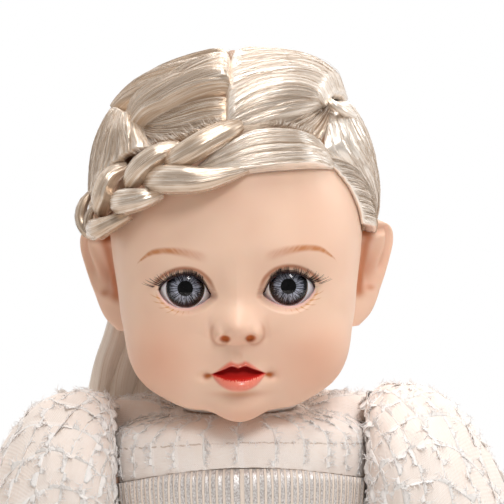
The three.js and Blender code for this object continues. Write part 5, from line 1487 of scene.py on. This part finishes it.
def line_frame(grid, out, line):
    """Places along a line of (u, v) shares over cloth, with the ways out of it and across the line."""
    place, up = sampled(grid, *line.T), unit(sampled(out, *line.T))
    return place, up, unit(np.cross(up, np.gradient(place, axis=0)) + 1e-9)


def threads(root, up, beside, length, stand, rng):
    """Cut threads from their roots, beside a line or standing out of the cloth."""
    count = len(root)
    aside = unit(beside + 0.4 * rng.normal(0, 1, (count, 3)))
    way = unit(aside + up * rng.uniform(*stand, (count, 1)))
    bend = np.cross(up, aside) * rng.uniform(-0.7, 0.7, (count, 1)) - up * 0.25
    t = np.linspace(0, 1, 4)[None, :, None]
    reach = rng.uniform(*length, (count, 1, 1))
    return root[:, None] + reach * (way[:, None] * t + bend[:, None] * t**2)


def fringe_paths(grid, out, lines, per_mm, length, stand, rng):
    """Cut threads along lines over cloth, which lie across them or stand out of the cloth, and curl."""
    paths = []
    for line in lines:
        place, up, beside = line_frame(grid, out, np.asarray(line, float))
        size = lengths(place)
        count = max(int(size[-1] * per_mm), 1)
        clump = rng.uniform(0, size[-1], max(count // 4, 1))
        at = np.clip(rng.choice(clump, count) + rng.normal(0, 0.5, count), 0, size[-1])
        near = np.abs(at[:, None] - size).argmin(1)
        aside = beside[near] * rng.choice((-1, 1), (count, 1))
        paths.append(threads(at_lengths(place, at, size), up[near], aside, length, stand, rng))
    return np.concatenate(paths)


def tabs(grid, out, lines, size, width, rise, each, rng):
    """Torn tabs of cloth along lines, as forms with their UVs, and the frayed threads of their edges."""
    forms, uvs, frays = [], [], []
    along, across = np.linspace(0, 1, 7), np.linspace(0, 1, 4)[None, :, None]
    for line in lines:
        fields = line_frame(grid, out, np.asarray(line, float))
        whole = lengths(fields[0])
        start = rng.uniform(0, 2)
        while start < whole[-1] - size[1]:
            long = rng.uniform(*size)
            at = start + long * along
            root, normal, way = (at_lengths(field, at, whole) for field in fields)
            way = way * rng.choice((-1, 1)) + 0.3 * rng.normal(0, 1, 3)
            ragged = np.sin(np.pi * (0.06 + 0.88 * along)) ** 0.5 * rng.uniform(0.7, 1.0, len(along))
            wide = rng.uniform(*width) * ragged[:, None, None]
            high = rng.uniform(*rise) * ragged[:, None, None]
            over = (root + 0.15 * normal)[:, None] + wide * across * way[:, None]
            over = over + high * across**1.5 * normal[:, None]
            forms.append(slab(over, over - TAB_THICKNESS * normal[:, None]))
            uvs.append(grid_uv(over))
            pick = rng.integers(1, len(along) - 1, each)
            ends = over[pick, rng.integers(2, 4, each)]
            frays.append(threads(ends, normal[pick], way[pick], FRAY_LENGTH, FRAY_STAND, rng))
            start += long * rng.uniform(0.7, 1.1)
    return forms, uvs, np.concatenate(frays)


def tab_piece(name, forms, uvs, body):
    points, faces = joined(forms)
    piece = new_piece(name, points, faces, torn_cotton, np.concatenate(uvs))
    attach(piece, body)
    return piece


def fringe_piece(name, paths, body, rng):
    tones = rng.uniform(0, 1, len(paths))
    piece = strand_piece(name, paths, tones, thread, THREAD_RADIUS, THREAD_TAPER)
    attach(piece, body)
    return piece


def seam_level(x):
    """Where the yoke is sewn to the bodice: higher in the middle than under the arms."""
    return SEAM_MIDDLE_Z - SEAM_DROP * (x / YOKE_HALF[0]) ** 2


rng = np.random.default_rng(21)
around = np.linspace(0, 2 * np.pi, 384, endpoint=False)[None, :]
share = np.linspace(0, 1, 48)[:, None]
sizes = profile(YOKE_RINGS, share)
cells = YOKE_CELLS * around / (2 * np.pi)
rows_up = share / YOKE_ROW
puff = 0.3 * puffed(cells, rows_up)
half = YOKE_HALF[0] * sizes[..., 0] + puff
depth = YOKE_HALF[1] * sizes[..., 1] + puff
x, y = oval(half, depth, around, OVAL_POWER)
low = seam_level(x[:1])
z = low + (YOKE_TOP - low) * share
raised = ramp(y, 0, 8) * ramp(np.abs(x), 18, 30) * ramp(share, 0.1, 0.42) * ramp(-share, -1, -0.88)
yoke_grid = np.stack((x, y, z + raised * (SHOULDER_LINE - z)), -1)
uv = cell_uv(cells, rows_up)
yoke = cloth_piece(
    "dress_yoke_sewn", yoke_grid, YOKE_THICKNESS, cotton, True, "dress_yoke", uv)
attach(yoke, "torso")
yoke_out = normals(yoke_grid, True)
rows = [[(u, YOKE_ROW * k) for u in np.linspace(0, 1, 160)] for k in (1, 2)]
columns = [[(u, v) for v in np.linspace(0.02, 0.98, 30)] for u in np.arange(YOKE_CELLS) / YOKE_CELLS]
forms, uvs, frays = tabs(
    yoke_grid, yoke_out, columns, size=(2.0, 4.0), width=(0.6, 1.4), rise=(0.05, 0.4), each=9, rng=rng)
yoke_tabs = tab_piece("yoke_tabs", forms, uvs, "torso")
paths = fringe_paths(
    yoke_grid, yoke_out, rows, per_mm=1.6, length=(0.8, 1.8), stand=(0.1, 0.6), rng=rng)
yoke_fringe = fringe_piece("yoke_fringe", np.concatenate((paths, frays)), "torso", rng)

# Puff sleeves
# The same cotton cut on the bias, set into the armhole and blown out over the upper arm down to the cuff.
# Tabs are torn along both ways of its lines, and in rows along the armhole.
SHOULDER = np.array((44.0, 0.0, 304.0))
SLEEVE_TOP_X = ((0, 0), (0.12, 4), (0.3, 14), (0.55, 34), (0.75, 52.8), (0.88, 49), (1, 38))
SLEEVE_TOP_Z = ((0, 26), (0.12, 30), (0.3, 31.5), (0.55, 22), (0.75, -14), (0.88, -42), (1, -57))
SLEEVE_UNDER_X = ((0, 0), (0.75, 0.6), (0.9, 6), (1, 15))
SLEEVE_UNDER_Z = ((0, -20), (0.3, -31), (0.75, -61), (1, -62))
SLEEVE_DEPTH = ((0, 18), (0.12, 26.5), (0.35, 34.5), (0.6, 35), (0.8, 28), (1, 13))
SLEEVE_START = 1.5
SLEEVE_CELLS = 15
SLEEVE_BIAS = 0.34
SLEEVE_THICKNESS = 1.4
ARMHOLE_ROWS = (0.01, 0.03, 0.06)


def sleeve_form(side):
    """The puff sleeve from its armhole over the crown to the cuff, as a grid and its cells."""
    share = np.linspace(0, 1, 96)[:, None]
    around = np.linspace(0, 1, 180, endpoint=False)[None, :]
    turn = 2 * np.pi * around + np.pi
    cells = SLEEVE_CELLS * (around - SLEEVE_BIAS * share), SLEEVE_CELLS * (around + SLEEVE_BIAS * share)
    top = np.stack((profile(SLEEVE_TOP_X, share), profile(SLEEVE_TOP_Z, share)), -1)
    under = np.stack((profile(SLEEVE_UNDER_X, share), profile(SLEEVE_UNDER_Z, share)), -1)
    middle, reach = (top + under) / 2, (top - under) / 2
    rumple = 0.03 * np.cos(5 * turn) + 0.02 * np.sin(9 * turn + 14 * share) * np.sin(11 * share)
    swell = 1 + np.sin(np.pi * share) * rumple + 0.008 * puffed(*cells) * np.sin(np.pi * share) ** 0.3
    x, z = np.moveaxis(middle + reach * (swell * np.cos(turn))[..., None], -1, 0)
    y = -4 * share + profile(SLEEVE_DEPTH, share) * swell * np.sin(turn)
    x = np.maximum(x + SLEEVE_START, SLEEVE_START + 0.02 * share)
    return np.stack((side * x, y, z), -1) + SHOULDER * (side, 1, 1), cells


soft_cotton = cotton_finish(
    "cream_cotton_sleeve", crease_shade=0.05, low=shown_as(247, 234, 224), high=shown_as(254, 246, 240))
for word, side in SIDES.items():
    rng = np.random.default_rng(31)
    grid, cells = sleeve_form(side)
    node, uv = f"sleeve_{word}", cell_uv(*cells)
    sleeve = cloth_piece(f"{node}_sewn", grid, SLEEVE_THICKNESS, soft_cotton, True, node, uv)
    out = normals(grid, True)
    bias = [[((start + lean * t * SLEEVE_BIAS) % 1 * 0.999, t) for t in np.linspace(0.02, 0.98, 60)]
            for start in np.arange(SLEEVE_CELLS) / SLEEVE_CELLS for lean in (1, -1)]
    armhole = [[(u, v) for u in np.linspace(0, 1, 120)] for v in ARMHOLE_ROWS]
    forms, uvs, frays = tabs(
        grid, out, bias, size=(2.2, 6.0), width=(0.8, 2.6), rise=(0.1, 0.8), each=7, rng=rng)
    more_forms, more_uvs, _ = tabs(
        grid, out, armhole, size=(3.0, 6.0), width=(1.6, 3.2), rise=(0.1, 1.0), each=6, rng=rng)
    strips = tab_piece(f"sleeve_tabs_{word}", forms + more_forms, uvs + more_uvs, f"arm_{word}")
    fringe = fringe_piece(f"sleeve_fringe_{word}", frays, f"arm_{word}", rng)
    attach(sleeve, f"arm_{word}")

# Bodice and waistband
# Silver lamé in fine pleats, drawn close round the trunk and flared out to meet the yoke.
# A plain silver band is sewn on at the waist.
TORSO_HALF = (
    (165.1, 10), (174.1, 26.4), (201, 44), (217.8, 42.7), (238, 38), (283.8, 42.1), (304, 43),
    (312, 40.85), (320, 32.7), (326, 21.5), (331, 16),
)
TORSO_DEPTH = (
    (165.1, 13), (174.1, 23.8), (201, 33), (217.8, 33), (238, 29), (283.8, 30), (304, 27.9),
    (312, 24), (320, 20.4), (326, 18), (331, 16),
)
DRESS_EASE = 0.6
CLOTH = 2.6
OVER_TRUNK = DRESS_EASE + CLOTH
BODICE_BOTTOM = 238.15
BODICE_PLEATS = 64
BODICE_THICKNESS = 1.6
SEAM_GAP = 0.3
FLARE_HALF = 2.2
FLARE_DEPTH = 4.8
FLARE_LEVELS = (278, 311)
BAND_BOTTOM = 230.0
BAND_HEIGHT = 7.85
BAND_OVER = 0.8
BAND_THICKNESS = 1.8
RIB_PITCH = 2.1
TWILL_PITCH = 1.1


def ring_grid(half, depth, level, turn):
    """Squarish oval rings at levels, as a grid."""
    x, y = oval(half, depth, turn, OVAL_POWER)
    return np.stack(np.broadcast_arrays(x, y, level), -1)


def over_trunk(level, turn, ease, wider=0.0, deeper=0.0):
    """Rings round the trunk at levels, eased off it, and wider and deeper where asked."""
    half = profile(TORSO_HALF, level) + ease + wider
    depth = profile(TORSO_DEPTH, level) + ease + deeper
    return ring_grid(half, depth, level, turn)


def lame_finish(name, pitch):
    """Thin cream ribs with crinkled silver foil between them, flecked where the foil has worn."""
    material, paint, shader = new_finish(name, Specular_IOR_Level=0.5)
    uv = paint.node("ShaderNodeUVMap", out="UV")
    u = paint.node("ShaderNodeSeparateXYZ", {0: uv}, "X")
    drift = 0.9 * paint.noise(paint.stretched(uv, 0.22, 0.02, 0.0), 1.0)
    beside = abs(paint.math("FRACT", (u + drift) / pitch) - 0.5) * pitch
    rib = beside.smooth(0.55, 0.25)
    crinkle = paint.noise(paint.stretched(uv, 2.4, 1.2, 0.0), 1.0, 4.0)
    fleck = paint.noise(paint.stretched(uv, 3.4, 0.6, 0.0), 1.0, 3.0).smooth(0.42, 0.34)
    silver = crinkle.smooth(0.3, 0.7).mix(shown_as(206, 198, 194), shown_as(255, 252, 250))
    silver = (0.55 * fleck).mix(silver, shown_as(126, 114, 107))
    rib.mix(silver, shown_as(243, 229, 216)).into(shader, "Base Color")
    (0.55 * (1 - rib) * (1 - 0.6 * fleck)).into(shader, "Metallic")
    (0.46 + 0.3 * rib + 0.2 * fleck).into(shader, "Roughness")
    (1.5 * rib + 0.7 * crinkle).bump(0.7, 0.0003).into(shader, "Normal")
    return material


lame = lame_finish("silver_lame", RIB_PITCH)
around = np.linspace(0, 2 * np.pi, 480, endpoint=False)[None, :]
share = np.linspace(0, 1, 28)[:, None]
bodice_top = seam_level(YOKE_HALF[0] * np.cos(around)) - SEAM_GAP
level = BODICE_BOTTOM + (bodice_top - BODICE_BOTTOM) * share
ease = OVER_TRUNK + 0.25 * np.sin(BODICE_PLEATS * around + 2 * np.sin(0.1 * level))
flare = ramp(level, *FLARE_LEVELS)
bodice_grid = over_trunk(level, around, ease, FLARE_HALF * flare, FLARE_DEPTH * flare)
bodice = cloth_piece(
    "dress_bodice_pleated", bodice_grid, BODICE_THICKNESS, lame, True, "dress_bodice")
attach(bodice, "torso")

twill = lame_finish("silver_twill", TWILL_PITCH)
share = np.linspace(0, 1, 8)[:, None]
ease = OVER_TRUNK + BAND_OVER + 0.5 * np.sin(np.pi * share)
band_grid = over_trunk(BAND_BOTTOM + BAND_HEIGHT * share, around, ease)
waistband = cloth_piece(
    "waistband_sewn", band_grid, BAND_THICKNESS, twill, True, "dress_waistband")
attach(waistband, "torso")

# Skirt
# Two pleated halves of the same lamé, gathered under the waistband, one over each leg.
# Each half hangs from the trunk over its own leg.
SKIRT_TOP = 229.7
SKIRT_HEM = 118.0
HEM_RADIUS = 82.0
PLEATS = 20
PLEAT_DEPTH = 2.4
SKIRT_THICKNESS = 1.2
HALVES_APART = 0.6
for word, side in SIDES.items():
    share = np.linspace(0, 1, 40)[:, None]
    turn = np.linspace(-np.pi / 2, np.pi / 2, 321)[None, :]
    half = (1 - share) * (profile(TORSO_HALF, SKIRT_TOP) + CLOTH) + HEM_RADIUS * share
    depth = (1 - share) * (profile(TORSO_DEPTH, SKIRT_TOP) + CLOTH) + HEM_RADIUS * share
    fold = PLEAT_DEPTH * share**0.6 * (1 - np.cos(PLEATS * turn + 0.5 * np.sin(3 * turn)))
    fine = 0.2 * np.sin(160 * turn) * ramp(share, 0, 0.2)
    x, y = oval(half - fold + fine, depth - fold + fine, turn, OVAL_POWER - 0.3 * share)
    z = SKIRT_TOP + (SKIRT_HEM - SKIRT_TOP) * share + 0 * turn
    grid = np.stack((side * np.maximum(x, HALVES_APART), y, z), -1)
    node = f"skirt_{word}"
    skirt = cloth_piece(f"{node}_pleated", grid, SKIRT_THICKNESS, lame, False, node)
    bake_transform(skirt)

# Cuffs
# Elastic in a casing of the cotton, which gathers the end of each sleeve round the arm.
# It sits square to the arm.
ARM_LINE = ((25, -1, -40), (32, -3, -64), (37, -6, -86))
CUFF_RADIUS = 13.6
CUFF_START = -4.5
CUFF_LENGTH = 7.0
CUFF_GATHERS = 26
CUFF_THICKNESS = 1.6
for word, side in SIDES.items():
    start, middle, end = (np.array(ARM_LINE) + SHOULDER) * (side, 1, 1)
    axis = unit(end - start)
    across = unit(np.cross(axis, (0.0, 1, 0)))
    beyond = np.cross(axis, across)
    along = np.linspace(CUFF_START, CUFF_START + CUFF_LENGTH, 14)[:, None]
    turn = np.linspace(0, 2 * np.pi, 192, endpoint=False)[None, :]
    swell = 0.5 * np.sin(np.pi * (along - CUFF_START) / CUFF_LENGTH)
    radius = CUFF_RADIUS + swell + 0.3 * np.sin(CUFF_GATHERS * turn + along)
    ring = np.cos(turn)[..., None] * across + np.sin(turn)[..., None] * beyond
    grid = middle + axis * along[..., None] + radius[..., None] * ring
    node = f"cuff_{word}"
    cuff = cloth_piece(f"{node}_gathered", grid, CUFF_THICKNESS, cotton, True, node)
    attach(cuff, f"arm_{word}")

# Neck binding and back tape
# A folded strip of the cotton is sewn round the neck over the yoke's raw edge.
# A cotton tape down the middle of the back covers the opening of the dress.
BINDING_BOTTOM = 329.3
BINDING_HEIGHT = 3.0
BINDING_ROLL = 1.2
BINDING_THICKNESS = 1.4
TAPE_LEVELS = (241, 309)
TAPE_HALF = 6.0
TAPE_OVER = 1.7
TAPE_THICKNESS = 1.4
share = np.linspace(0, 1, 8)[:, None]
ease = OVER_TRUNK - BINDING_ROLL * (2 * share - 1) ** 2
half = profile(TORSO_HALF, YOKE_TOP) + ease
depth = profile(TORSO_DEPTH, YOKE_TOP) + ease
level = BINDING_BOTTOM + BINDING_HEIGHT * share
binding_grid = ring_grid(half, depth, level, around)
binding = cloth_piece(
    "neck_binding_sewn", binding_grid, BINDING_THICKNESS, cotton, True, "neck_binding")
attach(binding, "torso")

level = np.linspace(*TAPE_LEVELS, 40)[:, None]
across = np.linspace(-TAPE_HALF, TAPE_HALF, 16)[None, :]
tape_y = profile(TORSO_DEPTH, level) + OVER_TRUNK + TAPE_OVER - 0.006 * across**2
tape_grid = np.stack(np.broadcast_arrays(across, tape_y, level), -1)
tape = cloth_piece("back_tape_sewn", tape_grid, -TAPE_THICKNESS, cotton, False, "back_tape")
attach(tape, "torso")

# Shoes
# Soft bar shoes of pale cloth on a thin moulded sole, with a strap sewn over the instep.
# A line of stitches runs round the upper, just above the sole.
SHOE_VOXEL = 0.75
SHOE_PASSES = 6
STITCH_Z = 0.0045


def shoe_cloth_finish():
    material, paint, shader = new_finish("shoe_canvas", Specular_IOR_Level=0.25, Sheen_Weight=0.2)
    place = paint.node("ShaderNodeTexCoord", out="Object")
    x, y, z = (paint.node("ShaderNodeSeparateXYZ", {0: place}, axis) for axis in "XYZ")
    weave = paint.math("SINE", (x + y) * 7000.0) * paint.math("SINE", (z - y) * 7000.0)
    cloud = paint.noise(place, 60.0, 3.0)
    hem = abs(z - STITCH_Z).smooth(0.0011, 0.0003) * paint.math("SINE", y * 2600.0).smooth(-0.2, 0.3)
    colour = (0.15 * weave + cloud).smooth(0.3, 0.8).mix(shown_as(222, 208, 198), shown_as(246, 238, 232))
    (0.7 * hem).mix(colour, shown_as(190, 172, 158)).into(shader, "Base Color")
    (0.7 + 0.2 * cloud).into(shader, "Roughness")
    (weave + 2.0 * hem).bump(0.5, 0.00012).into(shader, "Normal")
    return material


def moulded_finish(name, low, high, roughness, scale, metallic=0.0):
    """A plain moulded or cast surface with faint cloudiness in its colour and gloss."""
    material, paint, shader = new_finish(name, Metallic=metallic)
    place = paint.node("ShaderNodeTexCoord", out="Object")
    cloud = paint.noise(place, scale, 3.0)
    cloud.smooth(0.3, 0.7).mix(low, high).into(shader, "Base Color")
    (roughness + 0.15 * (cloud - 0.5)).into(shader, "Roughness")
    cloud.bump(0.15, 0.0001).into(shader, "Normal")
    return material


canvas = shoe_cloth_finish()
sole = moulded_finish(
    "shoe_sole", shown_as(206, 194, 182), shown_as(224, 214, 204), roughness=0.65, scale=180.0)
shoe_parts = (
    ("shoe_upper", canvas, "shoe_cloth"),
    ("shoe_strap", canvas, "shoe_cloth"),
    ("shoe_sole", sole, "shoe_sole"),
)
for word in SIDES:
    for node, material, slot in shoe_parts:
        shoe = rounded_copy(f"{node}_{word}", f"{node}_{word}_finished", SHOE_VOXEL, SHOE_PASSES, material)
        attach(shoe, f"leg_{word}")
        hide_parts(f"{node}_{word}")

# Works inside the head and neck
# Grey moulded eye cases glued behind the sockets, steel axles and weights, and the neck's vinyl knob.
# None of them shows, so they keep the form of their solids and take only a finish.
grey = moulded_finish(
    "grey_case", shown_as(120, 120, 124), shown_as(150, 150, 154), roughness=0.5, scale=200.0)
steel = moulded_finish(
    "bright_steel", shown_as(176, 178, 182), shown_as(214, 216, 220),
    roughness=0.3, scale=320.0, metallic=1.0)
eye_works = {"eye_case": grey, "eye_axle": steel, "eye_weight": steel}
inner_works = [("neck_joint", vinyl)]
for word in SIDES:
    inner_works += [(f"{node}_{word}", material) for node, material in eye_works.items()]
for node, material in inner_works:
    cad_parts[node].data.materials.clear()
    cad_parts[node].data.materials.append(material)

# Studio
# A white sweep under five soft round lamps, in a white room whose light on the doll is warmer.
# The camera stands a metre in front of the face and a little above it, rolled by about a degree.
CAMERA_AIM = np.array((0.0056, -0.045, 0.38935))
CAMERA_DISTANCE = 1.0
CAMERA_RISE = np.radians(4)
CAMERA_ROLL = np.radians(-1.2)
FRAME_WIDTH = 0.1764
SENSOR = 36.0
FLOOR_HALF = 1.2

# Each lamp's place, the height that it aims at, its width and its power
LAMPS = {
    "key": ((0.28, -0.9, 1.2), 0.36, 0.4, 5.6),
    "side": ((1.1, 0.2, 0.8), 0.38, 0.45, 1.9),
    "fill": ((-0.9, -0.9, 0.4), 0.36, 1.0, 0.5),
    "top": ((0.15, -0.2, 1.3), 0.4, 0.6, 5.2),
    "rim": ((0.1, 0.9, 1.0), 0.36, 0.8, 4.0),
}


def aimed(name, data, place, aim):
    """A lamp or camera that looks from a place at an aim."""
    made = link(bpy.data.objects.new(name, data))
    made.location = place
    way = Vector(np.asarray(aim) - np.asarray(place))
    made.rotation_euler = way.to_track_quat("-Z", "Y").to_euler()
    return made


lens = bpy.data.cameras.new("camera")
lens.sensor_width = SENSOR
lens.lens = SENSOR * CAMERA_DISTANCE / FRAME_WIDTH
back = np.array((0.0, -np.cos(CAMERA_RISE), np.sin(CAMERA_RISE)))
camera = aimed("camera", lens, CAMERA_AIM + CAMERA_DISTANCE * back, CAMERA_AIM)
camera.rotation_euler.rotate_axis("Z", CAMERA_ROLL)
bpy.context.scene.camera = camera

for name, (place, aim_z, size, power) in LAMPS.items():
    lamp = bpy.data.lights.new(name, "AREA")
    lamp.shape = "DISK"
    lamp.size = size
    lamp.energy = power
    aimed(name, lamp, place, (0, 0, aim_z))

world = bpy.data.worlds.new("studio")
bpy.context.scene.world = world
world.use_nodes = True
sky = world.node_tree.nodes["Background"]
seen = Paint(world.node_tree)
kinds = ("Camera", "Glossy", "Transmission")
ray = {kind: seen.node("ShaderNodeLightPath", out=f"Is {kind} Ray") for kind in kinds}
towards = seen.node("ShaderNodeTexCoord", out="Generated")
behind = seen.node("ShaderNodeSeparateXYZ", {0: towards}, "Y").smooth(-0.5, 0.4)
reflected = (ray["Glossy"] + ray["Transmission"]) * (0.18 + 0.82 * behind)
lighting = 1 - seen.math("MINIMUM", ray["Camera"] + ray["Glossy"] + ray["Transmission"], 1.0)
(ray["Camera"] + reflected + lighting * (0.3 + 0.5 * behind)).into(sky, "Strength")
lighting.mix((1, 1, 1, 1), (1, 0.9, 0.82, 1)).into(sky, "Color")


def floor_finish():
    material, paint, shader = new_finish("white_sweep", Roughness=0.8)
    place = paint.node("ShaderNodeTexCoord", out="Object")
    cloud = paint.noise(place, 3.0).smooth(0.2, 0.8)
    cloud.mix((0.86, 0.86, 0.86, 1), (0.9, 0.9, 0.9, 1)).into(shader, "Base Color")
    return material


corners = np.array(((-1, -1, 0), (1, -1, 0), (1, 1, 0), (-1, 1, 0))) * FLOOR_HALF / MM
new_piece("floor", corners, [[0, 1, 2, 3]], floor_finish())

bpy.context.scene.view_settings.view_transform = "Standard"
